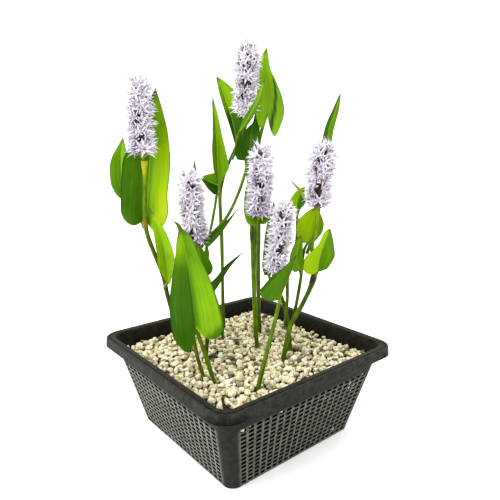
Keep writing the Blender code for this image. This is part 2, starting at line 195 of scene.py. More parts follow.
studio = {
    "floorColor": "#fcfcfb", "floorGrain": "#f8f8f7", "floorGlow": 0.3, "floorSize": 8.0,  # metres
    "wallColor": "#ffffff", "wallStrength": 1.65, "roomStrength": 0.55,  # white behind, dimmer in front
    "keyPlace": (-1.25, -0.1, 1.25), "keySize": 1.8, "keyPower": 32.0,
    "aim": (0.0, 0.0, 0.18), "fade": (-0.1, 0.8),  # from the wall to the room, 1 is straight in front
}


def buildFloor():
    finish, add, paper = newFinish("matt_paper_floor", 0.9, 1.45)  # seamless paper: even, no gloss
    grain = add("TexNoise", {"Scale": 900.0, "Detail": 2.0})
    add("ValToRGB", {"Fac": grain}, to=paper["Base Color"],
        stops=[(0.3, studio["floorGrain"]), (0.7, studio["floorColor"])])
    paper["Emission Color"].default_value = toLinear(studio["floorColor"])  # lit from below: thin shadows
    paper["Emission Strength"].default_value = studio["floorGlow"]
    half = studio["floorSize"] / 2
    mesh = bpy.data.meshes.new("floor")
    corners = [(-half, -half, 0), (half, -half, 0), (half, half, 0), (-half, half, 0)]
    mesh.from_pydata(corners, [], [(0, 1, 2, 3)])
    mesh.materials.append(finish)
    floor = bpy.data.objects.new("floor", mesh)
    bpy.context.scene.collection.objects.link(floor)


def buildLight():
    world = bpy.data.worlds.new("white_studio")
    world.use_nodes = True
    add, background = partial(addNode, world.node_tree), world.node_tree.nodes["Background"].inputs
    background["Color"].default_value = toLinear(studio["wallColor"])
    turn = math.radians(photoView["turn"])
    toFront = (math.sin(turn), -math.cos(turn), 0)
    direction = add("TexCoord").outputs["Generated"]
    forward = add("VectorMath", {0: direction, 1: toFront}, operation="DOT_PRODUCT")
    add("MapRange", {"Value": forward, "From Min": studio["fade"][0], "From Max": studio["fade"][1],
                     "To Min": studio["wallStrength"], "To Max": studio["roomStrength"]},
        to=background["Strength"], interpolation_type="SMOOTHSTEP")
    bpy.context.scene.world = world
    key = bpy.data.lights.new("key_softbox", "AREA")
    key.shape = "DISK"
    key.size = studio["keySize"]
    key.energy = studio["keyPower"]
    lamp = bpy.data.objects.new("key_softbox", key)
    bpy.context.scene.collection.objects.link(lamp)
    lamp.location = studio["keyPlace"]
    lamp.rotation_mode = "QUATERNION"
    lamp.rotation_quaternion = (Vector(studio["aim"]) - lamp.location).to_track_quat("-Z", "Y")
    bpy.context.scene.view_settings.view_transform = "Standard"


buildCamera()
buildFloor()
buildLight()
print("camera, floor and light")


# Basket

basket = {
    "height": 100.0, "baseWidth": 165.0, "openingWidth": 211.5, "sheet": 1.8,
    "cornerTop": 14.5, "cornerBase": 11.0,
    "rimWidth": 230.0, "rimCorner": 19.5, "skirt": 9.5, "flare": 0.8,
    "groove": (111.9, 1.2, 0.7),  # middle from the basket's centre, width, depth
    "holePitch": (9.05, 5.05), "holeSize": (6.4, 3.4), "holeCorner": 0.35,
    "holeRows": 14, "holeColumns": 9, "topRow": 71.0,  # columns each side of the middle one
    "cornerSteps": 7,
    "roughness": 0.45, "ior": 1.49, "specular": 0.05,
    # The inside colour, the skirt's corner colour and the holes' side colour are painted shade; the two mesh
    # colours are wear plus painted sheen, the -x side's lighter as painted key light
    "inside": "#030302", "black": "#1b1c17", "scuffedAndKeyHighlight": "#60625a", "wornAndSheen": "#53544c", "rim": "#282923",
    "dusty": "#1d1b13", "skirtSide": "#22231e", "skirtCornerShade": "#050504", "reveal": "#040403",
    "grain": 1.1,  # moulded grain in millimetres, coarser than the real 0.2 so that it shows
    "dust": (150.0, 6.0, 0.74), "dustShade": (0.3, 1.95),  # scale, detail, roughness; darkest, lightest
    "rimDepth": 1.3, "wallNear": 1.0, "cornerReach": 1.27,  # what counts as rim, wall and corner
    "columnEdge": (-3.0, 2.5),  # where the black of a corner column begins and is full, past the flat
}


def wallHalf(height):  # half the width over the outside of the wall
    top = basket["openingWidth"] / 2 + basket["sheet"]
    return basket["baseWidth"] / 2 + (top - basket["baseWidth"] / 2) * height / basket["height"]


def wallCorner(height):
    return basket["cornerBase"] + (basket["cornerTop"] - basket["cornerBase"]) * height / basket["height"]


def columnScale(height):  # the columns of holes draw together towards the base, as the walls do
    top = basket["topRow"]
    return (wallHalf(height) - wallCorner(height)) / (wallHalf(top) - wallCorner(top))


def wallShares(height):
    # Places round half a side: up to 1 on the flat, from 1 to 2 round half the corner
    flat = wallHalf(height) - wallCorner(height)
    arc = wallCorner(height) * math.pi / 4
    pitch, steps = basket["holePitch"][0] * columnScale(height), basket["cornerSteps"]
    kept = [(column + 0.5) * pitch for column in range(basket["holeColumns"] + 1)]
    kept += [kept[-1] + (flat + arc - kept[-1]) * step / steps for step in range(1, steps + 1)]
    return [place / flat if place <= flat else 1 + (place - flat) / arc for place in kept]


def squarePoint(side, share, half, corner, height):
    # A point of a square with round corners; share runs from -2 to 2 along one side
    flat = half - corner
    if abs(share) <= 1:
        x, y = share * flat, -half
    else:
        angle = (abs(share) - 1) * math.pi / 4
        x = math.copysign(flat + corner * math.sin(angle), share)
        y = -(flat + corner * math.cos(angle))
    for _ in range(side):
        x, y = -y, x
    return (x, y, height)


def squareRing(shares, half, corner, height):
    places = [-share for share in reversed(shares)][1:] + list(shares)
    return [squarePoint(side, share, half, corner, height) for side in range(4) for share in places]


def evenShares(steps, count):  # as in wallShares, evenly apart up to near the middle of the corner
    return [step / steps for step in range(1, count + 1)] + [2.0]


def blackPolypropylene():
    # Injection-moulded polypropylene: satin black, finely grained, dusty on the rim; the mesh's grey is
    # scuffing plus painted sheen and highlight, and the holes' sides are painted shade
    finish, add, skin = newFinish("moulded_black_polypropylene", basket["roughness"], basket["ior"],
                                  basket["specular"])
    place = add("TexCoord").outputs["Object"]
    # The columns at the corners stay black: how far a place lies past the flat of its side, in metres
    split = add("SeparateXYZ", {"Vector": place})
    sizes = [add("Math", {0: split.outputs[axis]}, operation="ABSOLUTE") for axis in "XY"]
    across = add("Math", {0: sizes[0], 1: sizes[1]}, operation="MINIMUM")
    low, high = (wallHalf(height) - wallCorner(height) for height in (0, basket["height"]))
    flat = add("Math", {0: split.outputs["Z"], 1: (high - low) / basket["height"], 2: low * mm},
               operation="MULTIPLY_ADD")
    past = add("Math", {0: across, 1: flat}, operation="SUBTRACT")
    corner = add("MapRange", {"Value": past, "From Min": basket["columnEdge"][0] * mm,
                              "From Max": basket["columnEdge"][1] * mm}, interpolation_type="SMOOTHSTEP")
    mesh, reveal = (add("Attribute", attribute_name=label).outputs["Fac"] for label in ("mesh", "reveal"))
    column = add("Math", {0: corner, 1: mesh}, operation="MULTIPLY")
    color = add("Attribute", attribute_name="tint").outputs["Color"]
    # The holes' sides take a painted shade colour
    for share, shade in ((column, "black"), (reveal, "reveal")):
        color = add("Mix", {"Factor": share, "A": color, "B": toLinear(basket[shade])}, data_type="RGBA")
    scale, detail, rough = basket["dust"]
    dust = add("TexNoise", {"Vector": place, "Scale": scale, "Detail": detail, "Roughness": rough})
    low, high = basket["dustShade"]
    shade = add("MapRange", {"Value": dust, "From Min": 0.3, "From Max": 0.7, "To Min": low, "To Max": high})
    add("VectorMath", {"Vector": color, "Scale": shade}, to=skin["Base Color"], operation="SCALE")
    grain = add("TexNoise", {"Vector": place, "Scale": 1 / (basket["grain"] * mm), "Detail": 2.0})
    add("Bump", {"Strength": 0.25, "Distance": 0.3 * mm, "Height": grain}, to=skin["Normal"])
    plain = basket["roughness"]
    add("MapRange", {"Value": dust, "To Min": plain - 0.06, "To Max": plain + 0.12}, to=skin["Roughness"])
    return finish


def holeOutline():
    wide, tall, cut = basket["holeSize"][0] / 2, basket["holeSize"][1] / 2, basket["holeCorner"]
    return [(-wide + cut, -tall), (wide - cut, -tall), (wide, -tall + cut), (wide, tall - cut),
            (wide - cut, tall), (-wide + cut, tall), (-wide, tall - cut), (-wide, -tall + cut)]


def onMesh(x, y, height):  # whether a point lies on the outside of the walls
    wide, across = max(abs(x), abs(y)), min(abs(x), abs(y))
    half = wallHalf(height)
    if height > basket["height"] - basket["rimDepth"] or wide > half + basket["wallNear"]:
        return False
    return wide > half - basket["wallNear"] or math.hypot(wide, across) > basket["cornerReach"] * half


def basketColor(x, y, height):
    # The rim's inner half gathers dust and the corners stay black. The mesh outside is grey from scuffs plus
    # painted sheen, lighter on the -x side as painted key light. The top band, the skirt's corners and the
    # inside are painted shade
    wide, across = max(abs(x), abs(y)), min(abs(x), abs(y))
    if height > basket["height"] - basket["rimDepth"]:
        return toLinear(basket["rim" if wide > basket["groove"][0] else "dusty"])
    if wide > wallHalf(height) + basket["wallNear"]:
        # Painted shade: the skirt darkens to near black round its corners
        corner = easeStep(-4.0, 4.0, across - (wallHalf(height) - wallCorner(height)))
        side, black = toLinear(basket["skirtSide"]), toLinear(basket["skirtCornerShade"])
        return tuple(s + (b - s) * corner for s, b in zip(side, black))
    if not onMesh(x, y, height):
        # Painted shade: the inside is darker than the black plastic
        return toLinear(basket["inside"])
    # Painted shade under the skirt: the band above the holes keeps the plain black
    if height > basket["topRow"] + 0.45 * basket["holePitch"][1]:
        return toLinear(basket["black"])
    # Painted light: the -x side, which faces the key light, is lighter; both mesh colours are wear plus
    # painted sheen
    return toLinear(basket["scuffedAndKeyHighlight" if wide == -x else "wornAndSheen"])


def buildBasket():
    sheet, pitchUp, rows = basket["sheet"], basket["holePitch"][1], basket["holeRows"]
    middles = [basket["topRow"] - pitchUp * row for row in range(rows)]
    lines = [basket["topRow"] + pitchUp * (0.5 - row) for row in range(rows + 1)]
    outsideHeights = [basket["height"] - sheet] + lines + [1.0]
    insideHeights = [basket["height"] - 1.0] + lines + [sheet + 0.5]
    perSide = 2 * (basket["holeColumns"] + basket["cornerSteps"]) + 1
    count = 4 * perSide
    points, faces = [], []

    def addRing(shares, half, corner, height):
        points.extend(squareRing(shares, half, corner, height))
        return len(points) - count

    def joinRings(first, second, skipped=()):  # seen from outside, with the first ring below the second
        for at in range(count):
            if at not in skipped:
                after = (at + 1) % count
                faces.append((first + at, first + after, second + after, second + at))

    def addHole(row, side, column, inset, corners, turned):
        start = len(points)
        for x, z in outline:
            height = middles[row] + z
            half, corner = wallHalf(height) - inset, wallCorner(height) - inset
            along = (column * basket["holePitch"][0] + x) * columnScale(height)
            points.append(squarePoint(side, along / (half - corner), half, corner, height))
        a, b, c, d = corners
        h = range(start, start + 8)
        around = [(a, b, h[1], h[0]), (b, c, h[3], h[2]), (c, d, h[5], h[4]), (d, a, h[7], h[6]),
                  (b, h[2], h[1]), (c, h[4], h[3]), (d, h[6], h[5]), (a, h[0], h[7])]
        faces.extend([tuple(reversed(face)) for face in around] if turned else around)
        return start

    outline = holeOutline()
    outside, inside, shadedReveals = [], [], []
    for height, innerHeight in zip(outsideHeights, insideHeights):
        shares = wallShares(height)
        outside.append(addRing(shares, wallHalf(height), wallCorner(height), height))
        half, corner = wallHalf(innerHeight) - sheet, wallCorner(innerHeight) - sheet
        inside.append(addRing(shares, half, corner, innerHeight))
    for band in range(len(outside) - 1):
        row = band - 1
        cells = {}
        if 0 <= row < rows:
            for side in range(4):
                for column in range(-basket["holeColumns"], basket["holeColumns"] + 1):
                    cells[side * perSide + (perSide - 1) // 2 - 1 + column] = (side, column)
        joinRings(outside[band + 1], outside[band], cells)
        joinRings(inside[band], inside[band + 1], cells)
        for at, (side, column) in cells.items():
            starts = []
            for rings, inset, turned in ((outside, 0.0, False), (inside, sheet, True)):
                lower, upper = rings[band + 1] + at, rings[band] + at
                corners = (lower, lower + 1, upper + 1, upper)
                starts.append(addHole(row, side, column, inset, corners, turned))
            for k in range(8):
                after = (k + 1) % 8
                shadedReveals.append(len(faces))
                faces.append((starts[0] + k, starts[0] + after, starts[1] + after, starts[1] + k))

    # Rim: underside, skirt with a rounded lip, top with its groove, and the edge of the opening
    shares = wallShares(outsideHeights[0])
    wide, top = basket["rimWidth"] / 2, basket["height"]
    lip = wide + basket["flare"]
    low = top - basket["skirt"]
    grooveMiddle, grooveWidth, grooveDepth = basket["groove"]
    grooveOut, grooveIn = grooveMiddle + grooveWidth / 2, grooveMiddle - grooveWidth / 2
    profile = [
        (wide - sheet, top - sheet), (lip - sheet, low + 0.2), (lip - sheet + 0.4, low), (lip - 0.35, low),
        (lip, low + 0.4), (wide + 0.05, top - 1.2), (wide - 0.25, top - 0.45), (wide - 0.9, top),
        (grooveOut, top), (grooveOut - 0.2, top - grooveDepth),
        (grooveIn + 0.2, top - grooveDepth), (grooveIn, top),
        (basket["openingWidth"] / 2 + 0.9, top), (basket["openingWidth"] / 2 + 0.2, top - 0.3),
    ]
    last = outside[0]
    for half, height in profile:
        ring = addRing(shares, half, basket["rimCorner"] + half - wide, height)
        joinRings(last, ring)
        last = ring
    joinRings(last, inside[0])
    foot = addRing(shares, wallHalf(0) - 1.0, wallCorner(0) - 1.0, 0.0)
    joinRings(foot, outside[-1])
    faces.append(tuple(reversed(range(foot, foot + count))))
    floor = addRing(shares, wallHalf(sheet) - sheet - 1.0, wallCorner(sheet) - sheet - 1.0, sheet)
    joinRings(inside[-1], floor)
    faces.append(tuple(range(floor, floor + count)))
    piece = addPiece("mesh_planting_basket", points, faces, blackPolypropylene(), "basket_plastic",
                     ("planting_basket",), crease=32, tint=[basketColor(*point) for point in points],
                     mesh=[float(onMesh(*point)) for point in points])
    shaded = np.zeros(len(faces), np.float32)  # the sides of the holes, painted black as shade inside them
    shaded[shadedReveals] = 1.0
    piece.data.attributes.new("reveal", "FLOAT", "FACE").data.foreach_set("value", shaded)


buildBasket()
print("basket")


# Soil and gravel

filling = {
    "clearance": 0.6, "soilBottom": 2.1, "soilTop": 74.0, "soilRows": 40,
    "soilLump": 1.3, "soilLumpPitch": 4.5,
    "soilDark": "#0b0a08", "soilBrown": "#2c241b", "crumb": 2.2,  # millimetres across
    "gravelTop": 87.0, "gravelLump": 2.3, "gravelCells": 22, "gravelUneven": 0.4, "gravelNoiseStep": 0.73,
    "gravelCorner": 12.0,
    "chipPitch": 6.2, "chipRadius": (2.8, 5.4), "chipSink": 2.3,
    "underPitch": 7.0, "underRadius": (3.2, 4.4), "underSink": 6.2,
    # The bed's dark colour is painted shade between the chips
    "bedSink": 8.3, "bedShade": "#231d0f", "bedLight": "#5c5030",
    "palette": [("#f4ecc6", 30), ("#fbf5dc", 20), ("#e9dfb4", 18), ("#dacf9c", 10), ("#f1e7ca", 12),
                ("#bcae80", 6), ("#a9a486", 4), ("#6c6b52", 3), ("#faf6e6", 5)],
    "bedLump": 1.2, "bedLumpPitch": 3.2, "bedRings": 44,
    "chipFlats": 9, "flatDepth": (0.58, 0.9), "chipLump": 0.22, "chipLumpScale": 2.3, "chipHeight": 0.86,
    "chipShift": 0.3, "chipTouch": 0.72, "chipInside": 0.75,  # shares of pitch, of two radii, of one radius
    "undersideShade": (0.74, 0.68, 0.5, 1.0),  # painted shade: what is left of red, green and blue at the underside of a chip
    "smallChips": 1.5, "chipRise": (-1.0, 1.1), "oddLift": 0.9,  # favour of small ones, millimetres up
    "lodgedInset": 0.7, "lodgedCorner": 6, "lodgedRadius": (2.3, 0.3), "lodgedColor": "#fbf8ec",
    "stemRoom": 2.6,  # between a stem's skin and the middle of the nearest chip
    # x, y, radius and colour of stones that stand out from the rest
    "oddStones": [(-31, 12, 4.6, "#3f463a"), (-35, -2, 4.4, "#f4ecd2"), (-18, 32, 4.2, "#8a8a66"),
                  (5, -83, 4.4, "#e8d5cc"), (54, -28, 4.6, "#b8a06a"), (-88, -75, 6.2, "#f2ebd6"),
                  (-68, -66, 5.0, "#efe7cc"), (-83, -81, 3.6, "#4c4a3c")],
    # side, column and row of the holes in which a chip shows; side 0 is the one towards -y, side 3 towards -x
    "lodged": [(0, -4, 0), (0, -8, 0), (0, -9, 0), (0, 9, 0), (0, 8, 2), (0, 7, 1), (0, 3, 2), (0, 7, 2),
               (0, 7, 12), (3, 5, 0)],
}


def fillingHalf(height):  # half the width of the soil and gravel
    return wallHalf(height) - basket["sheet"] - filling["clearance"]


def gravelLevel(row, column):  # height of a point of the gravel's grid: lumps and hollows in turn
    uneven = noise.noise(Vector((column, row, 0)) * filling["gravelNoiseStep"])
    swing = 1 + filling["gravelUneven"] * uneven
    return filling["gravelTop"] + filling["gravelLump"] * swing * (-1 if (row + column) % 2 else 1)


def gravelHeight(x, y):
    # Height of the gravel's top, whose lumps have flat sides that meet along the hollows
    half = fillingHalf(filling["gravelTop"])
    column, u = divmod((x / half + 1) / 2 * filling["gravelCells"], 1)
    row, v = divmod((y / half + 1) / 2 * filling["gravelCells"], 1)
    near, far = column, column + 1
    if (row + column) % 2:
        near, far, u = far, near, 1 - u
    across, away = gravelLevel(row, far), gravelLevel(row + 1, near)
    if u + v < 1:
        lump = gravelLevel(row, near)
        return lump + u * (across - lump) + v * (away - lump)
    lump = gravelLevel(row + 1, far)
    return lump + (1 - u) * (away - lump) + (1 - v) * (across - lump)


def buildSoil():
    rings = []
    shares = evenShares(14, 24)
    rows = filling["soilRows"]
    for row in range(rows):
        height = filling["soilBottom"] + (filling["soilTop"] - filling["soilBottom"]) * row / (rows - 1)
        half = fillingHalf(height)
        ring = squareRing(shares, half, wallCorner(height) - basket["sheet"], height)
        for at, (x, y, z) in enumerate(ring):
            lump = noise.noise(Vector((x, y, z)) / filling["soilLumpPitch"])
            pull = 1 - filling["soilLump"] * max(0.0, 0.5 + lump) / half
            ring[at] = (x * pull, y * pull, z)
        rings.append(ring)
    # Aquatic soil, crumbled and wet: near black with brown crumbs and small glints
    finish = crumblyGround("wet_aquatic_soil", roughness=0.6, ior=1.4,
                           grain=(1 / (filling["crumb"] * mm), 4.0, 0.65),
                           stops=[(0.42, filling["soilDark"]), (0.7, filling["soilBrown"])])
    faces = ringFaces(rows, len(rings[0]))
    addPiece("crumbly_soil", np.concatenate(rings), faces, finish, "wet_soil", ("soil",))


def chipForms(seed, count, detail):
    # Ball points pressed onto random planes, which leaves worn flats with soft edges
    forms = []
    chance = np.random.default_rng(seed)
    for _ in range(count):
        ball = bmesh.new()
        bmesh.ops.create_icosphere(ball, subdivisions=detail, radius=1.0)
        form = np.array([vert.co[:] for vert in ball.verts])
        faces = np.array([[vert.index for vert in face.verts] for face in ball.faces])
        ball.free()
        form *= [1.0, chance.uniform(0.7, 0.98), chance.uniform(0.5, 0.8)]
        for _ in range(filling["chipFlats"]):
            flat = chance.normal(size=3)
            flat /= np.linalg.norm(flat)
            depth = (form @ flat).max() * chance.uniform(*filling["flatDepth"])
            form -= np.outer(np.maximum(form @ flat - depth, 0), flat)
        shift = Vector((seed + len(forms) * 3.7, 0, 0))
        lump = [noise.noise(Vector(point) * filling["chipLumpScale"] + shift) for point in form]
        form *= 1 + filling["chipLump"] * np.array(lump)[:, None]
        forms.append((form, faces))
    return forms


def randomTurns(chance, count):
    quats = chance.normal(size=(count, 4))
    quats /= np.linalg.norm(quats, axis=1, keepdims=True)
    w, x, y, z = quats.T
    turns = np.stack([1 - 2 * (y * y + z * z), 2 * (x * y - w * z), 2 * (x * z + w * y),
                      2 * (x * y + w * z), 1 - 2 * (x * x + z * z), 2 * (y * z - w * x),
                      2 * (x * z - w * y), 2 * (y * z + w * x), 1 - 2 * (x * x + y * y)], axis=1)
    return turns.reshape(-1, 3, 3)


def pileChips(name, chips, forms, finish, seed):
    # chips holds x, y, z, radius and colour of each
    chance = np.random.default_rng(seed)
    points, faces, colors = [], [], []
    undersideShade = np.array(filling["undersideShade"])
    start = 0
    for (x, y, z, radius, color), turn in zip(chips, randomTurns(chance, len(chips))):
        form, corners = forms[chance.integers(len(forms))]
        placed = (form @ turn.T) * (1.0, 1.0, filling["chipHeight"]) * radius
        points.append(placed + (x, y, z))
        faces.append(corners + start)
        low = np.clip(0.5 + placed[:, 2] / radius * 0.6, 0, 1)  # painted shade, darker and browner towards the underside of a chip
        shaded = np.array(toLinear(color)) * chance.uniform(0.88, 1.1) * (undersideShade + (1 - undersideShade) * low[:, None])
        shaded[:, 3] = 1.0
        colors.append(np.clip(shaded, 0, 1))
        start += len(form)
    addPiece(name, np.concatenate(points), np.concatenate(faces).tolist(), finish, "gravel_chips",
             ("gravel",), crease=36, tint=np.concatenate(colors))


def keepInside(x, y, half, radius):
    # Moves a chip's middle inside the square with round corners that the wall leaves
    inset = filling["chipInside"] * radius
    reach, corner = half - inset, filling["gravelCorner"] - inset
    x, y = max(-reach, min(reach, x)), max(-reach, min(reach, y))
    inner = reach - corner
    overX, overY = max(0.0, abs(x) - inner), max(0.0, abs(y) - inner)
    over = math.hypot(overX, overY)
    if over > corner:
        x = math.copysign(inner + overX * corner / over, x)
        y = math.copysign(inner + overY * corner / over, y)
    return x, y


def spreadChips(chance, pitch, radii, sink, feet, odd=()):
    half = fillingHalf(filling["gravelTop"] - sink)
    codes = [code for code, _ in filling["palette"]]
    odds = np.array([share for _, share in filling["palette"]], float)
    odds /= odds.sum()
    chips = [(x, y, gravelHeight(x, y) - sink + filling["oddLift"], radius, code)
             for x, y, radius, code in odd]
    rowPitch, shift = pitch * math.sqrt(3) / 2, filling["chipShift"]
    for row in range(int(2 * half / rowPitch) + 1):
        for step in range(int(2 * half / pitch) + 1):
            x = -half + (step + 0.5 * (row % 2)) * pitch + chance.uniform(-shift, shift) * pitch
            y = -half + row * rowPitch + chance.uniform(-shift, shift) * pitch
            radius = radii[0] + (radii[1] - radii[0]) * chance.random() ** filling["smallChips"]
            x, y = keepInside(x, y, half, radius)
            if any(math.hypot(x - a, y - b) < room + filling["stemRoom"] for a, b, room in feet):
                continue
            touch = filling["chipTouch"]
            if any(math.hypot(x - a, y - b) < (radius + size) * touch for a, b, size, _ in odd):
                continue
            z = gravelHeight(x, y) - sink + chance.uniform(*filling["chipRise"])
            chips.append((x, y, z, radius, codes[chance.choice(len(codes), p=odds)]))
    return chips


def buildGravelBed():
    # Fine gravel below the chips, so that no gap looks through
    half = fillingHalf(filling["gravelTop"] - filling["bedSink"])
    shares = evenShares(10, 17)
    low = filling["soilTop"] + 0.3
    wide = fillingHalf(low)
    rings = [squareRing(shares, wide, filling["gravelCorner"], low)]
    count = filling["bedRings"]
    for step in range(count):
        size = half * (1 - step / count) ** 0.9
        ring = squareRing(shares, size, filling["gravelCorner"] * size / half, 0.0)
        for at, (x, y, _) in enumerate(ring):
            lump = noise.noise(Vector((x, y, 5)) / filling["bedLumpPitch"])
            ring[at] = (x, y, gravelHeight(x, y) - filling["bedSink"] + lump * filling["bedLump"])
        rings.append(ring)
    # Sand and grit that lie between the chips, its dark colour painted shade in the gaps
    finish = crumblyGround("fine_sandy_gravel", roughness=0.85, ior=1.5, grain=(420.0, 5.0, 0.5),
                           stops=[(0.4, filling["bedShade"]), (0.72, filling["bedLight"])])
    faces = ringFaces(len(rings), len(rings[0]))
    addPiece("gravel_bed", np.concatenate(rings), faces, finish, "gravel_chips", ("gravel",))


def buildGravel(feet):
    # Crushed and tumbled river gravel, dry: matt, cream to tan, speckled and faintly banded
    finish, _ = mottledTint("tumbled_cream_gravel", roughness=0.8, ior=1.5, specular=0.25,
                            grain=(400.0, 6.0, 0.6), shades=(0.32, 0.62, 0.55, 1.14), bump=(0.9, 2.2 * mm))
    chance = np.random.default_rng(11)
    forms = chipForms(seed=3, count=26, detail=2)
    chips = spreadChips(chance, filling["chipPitch"], filling["chipRadius"], filling["chipSink"],
                        feet, filling["oddStones"])
    chips.sort(key=lambda chip: chip[1] + chip[0])
    part = (len(chips) + 2) // 3
    for index, label in enumerate(("front", "middle", "back")):
        pileChips("gravel_chips_" + label, chips[index * part:(index + 1) * part], forms, finish, 20 + index)
    under = spreadChips(chance, filling["underPitch"], filling["underRadius"], filling["underSink"], ())
    pileChips("gravel_chips_under", under, chipForms(seed=5, count=12, detail=1), finish, 30)
    # Chips washed down between the soil and the wall, seen through the holes
    lodged = []
    corner, (least, more) = filling["lodgedCorner"], filling["lodgedRadius"]
    for index, (side, column, row) in enumerate(filling["lodged"]):
        height = basket["topRow"] - basket["holePitch"][1] * row
        half = wallHalf(height) - basket["sheet"] - filling["lodgedInset"]
        along = column * basket["holePitch"][0] * columnScale(height)
        x, y, z = squarePoint(side, along / (half - corner), half, corner, height)
        lodged.append((x, y, z, least + more * (index % 3), filling["lodgedColor"]))
    pileChips("gravel_chips_lodged", lodged, chipForms(seed=9, count=6, detail=2), finish, 41)


# Routes that the stems, blades and spikes follow

onGravel = None  # in place of a height
footGap = 2.6  # from the middle level of the gravel to the foot of a stem
stalkGap = 0.6  # from the middle of a blade to the end of its stalk


def smoothPoint(route, share):
    last = len(route) - 1
    part = min(int(share * last), last - 1)
    t = share * last - part
    here, there = route[part], route[part + 1]
    before = route[part - 1] if part > 0 else here * 2 - there
    after = route[part + 2] if part + 2 <= last else there * 2 - here
    straight = 2 * here + (there - before) * t
    bend = (2 * before - 5 * here + 4 * there - after) * t * t
    twist = (3 * here - before - 3 * there + after) * t * t * t
    return (straight + bend + twist) / 2


def smoothDirection(route, share):
    before, after = max(share - 0.02, 0.0), min(share + 0.02, 1.0)
    return (smoothPoint(route, after) - smoothPoint(route, before)).normalized()


def walkRoute(route, shares):
    # Gives each share with its point, the direction there and two axes across it that don't spin
    across = Vector((1, 0, 0))
    for share in shares:
        along = smoothDirection(route, share)
        across = (across - along * across.dot(along)).normalized()
        yield share, smoothPoint(route, share), along, across, along.cross(across)


def layout(points):
    # A point without a height stands on the gravel
    placed = []
    for across, away, height in points:
        if height is onGravel:
            spot = plantTurn @ Vector((across, away, 0))
            height = gravelHeight(spot.x, spot.y) + footGap
        placed.append(Vector((across, away, height)))
    return placed


def toWorld(points):
    return np.asarray(points, float) @ np.array(plantTurn).T


def easyCurve(places, values, at):
    # A smooth line through listed values that never swings past them
    part = 0
    while part < len(places) - 2 and at > places[part + 1]:
        part += 1
    slopes = [(values[k + 1] - values[k]) / (places[k + 1] - places[k]) for k in range(len(places) - 1)]

    def slopeAt(k):
        if k == 0 or k == len(places) - 1:
            return slopes[min(k, len(slopes) - 1)]
        before, after = slopes[k - 1], slopes[k]
        return 0.0 if before * after <= 0 else 2 * before * after / (before + after)

    span = places[part + 1] - places[part]
    t = (at - places[part]) / span
    return (values[part] * (1 + 2 * t) * (1 - t) ** 2 + slopeAt(part) * span * t * (1 - t) ** 2
            + values[part + 1] * t * t * (3 - 2 * t) + slopeAt(part + 1) * span * t * t * (t - 1))


# Stems and stalks

stemLook = {
    "sides": 16, "rowsEach": 8, "footDepth": 6.0,  # how far a stem goes down into the gravel
    "ridge": 0.05, "ridges": 7,  # fine ribs round the stem, as a share of the radius
    "ramp": [(0.0, "#140d04"), (0.18, "#2a2604"), (0.34, "#3a4403"), (0.52, "#4b6800"), (0.7, "#6c8a00"),
             (0.86, "#a0a804"), (1.0, "#c6bc30")],
    "rust": "#b0702a",  # at the nodes
    "roughness": 0.36, "ior": 1.42, "specular": 0.12,
    "wobble": (0.03, 0.21),  # share of the radius, and turn in radians for each millimetre along
    # round, round and along in millimetres, detail and strength, of the streaks and then of the blotches
    "layers": [((0.9, 0.9, 22), 3.0, 0.5), ((5, 5, 9), 4.0, 0.54)],
}


def stemSkin():
    # A fleshy water plant's stem: smooth, faintly ribbed, olive with brown flecks and a soft gloss
    finish, add, skin = newFinish("fleshy_stem_skin", stemLook["roughness"], stemLook["ior"],
                                  stemLook["specular"])
    tint, (streaks, _) = mottledTone(add, stemLook["layers"], stemLook["ramp"])
    rust = add("Attribute", attribute_name="rust").outputs["Fac"]
    add("Mix", {"Factor": rust, "A": tint, "B": toLinear(stemLook["rust"])}, to=skin["Base Color"],
        data_type="RGBA")
    add("Bump", {"Strength": 0.3, "Distance": 0.3 * mm, "Height": streaks}, to=skin["Normal"])
    return finish


stemFinish = stemSkin()
stemFeet = []


def buildTube(name, route, radii, replaced, tones, swellings=(), footed=False):
    # tones and swellings are listed by share: (share, tone) and (share, width, extra radius, tone, rust)
    if footed:
        foot = route[0].copy()
        down = (route[0] - route[1]).normalized()
        route = [foot + Vector((down.x * 0.5, down.y * 0.5, -1)) * stemLook["footDepth"]] + route
        spot = plantTurn @ foot
        stemFeet.append((spot.x, spot.y, radii[0]))
    rows = stemLook["rowsEach"] * (len(route) - 1) + 1
    sides = stemLook["sides"]
    phase = sum(ord(letter) for letter in name) % 17
    points, toneValues, rustValues, plan = [], [], [], []
    length, previous = 0.0, route[0]
    for share, centre, _, across, beside in walkRoute(route, [row / (rows - 1) for row in range(rows)]):
        length += (centre - previous).length
        previous = centre
        rust = 0.0
        radius = radii[0] + (radii[1] - radii[0]) * share
        tone = easyCurve([place for place, _ in tones], [value for _, value in tones], share)
        for place, width, extra, swellTone, swellRust in swellings:
            near = math.exp(-((share - place) / width) ** 2)
            radius += extra * near
            tone += (swellTone - tone) * near
            rust += swellRust * near
        radius *= 1 + stemLook["wobble"][0] * math.sin(length * stemLook["wobble"][1] + phase)
        for side in range(sides):
            angle = 2 * math.pi * side / sides
            rib = 1 + stemLook["ridge"] * math.cos(angle * stemLook["ridges"] + phase)
            offset = across * math.cos(angle) + beside * math.sin(angle)
            points.append((centre + offset * radius * rib)[:])
            toneValues.append(tone)
            rustValues.append(rust)
            plan.append((math.cos(angle) * radius + phase * 7, math.sin(angle) * radius, length))
    addPiece(name, toWorld(points), ringFaces(rows, sides), stemFinish, "stem", replaced,
             tone=toneValues, rust=rustValues, plan=plan)


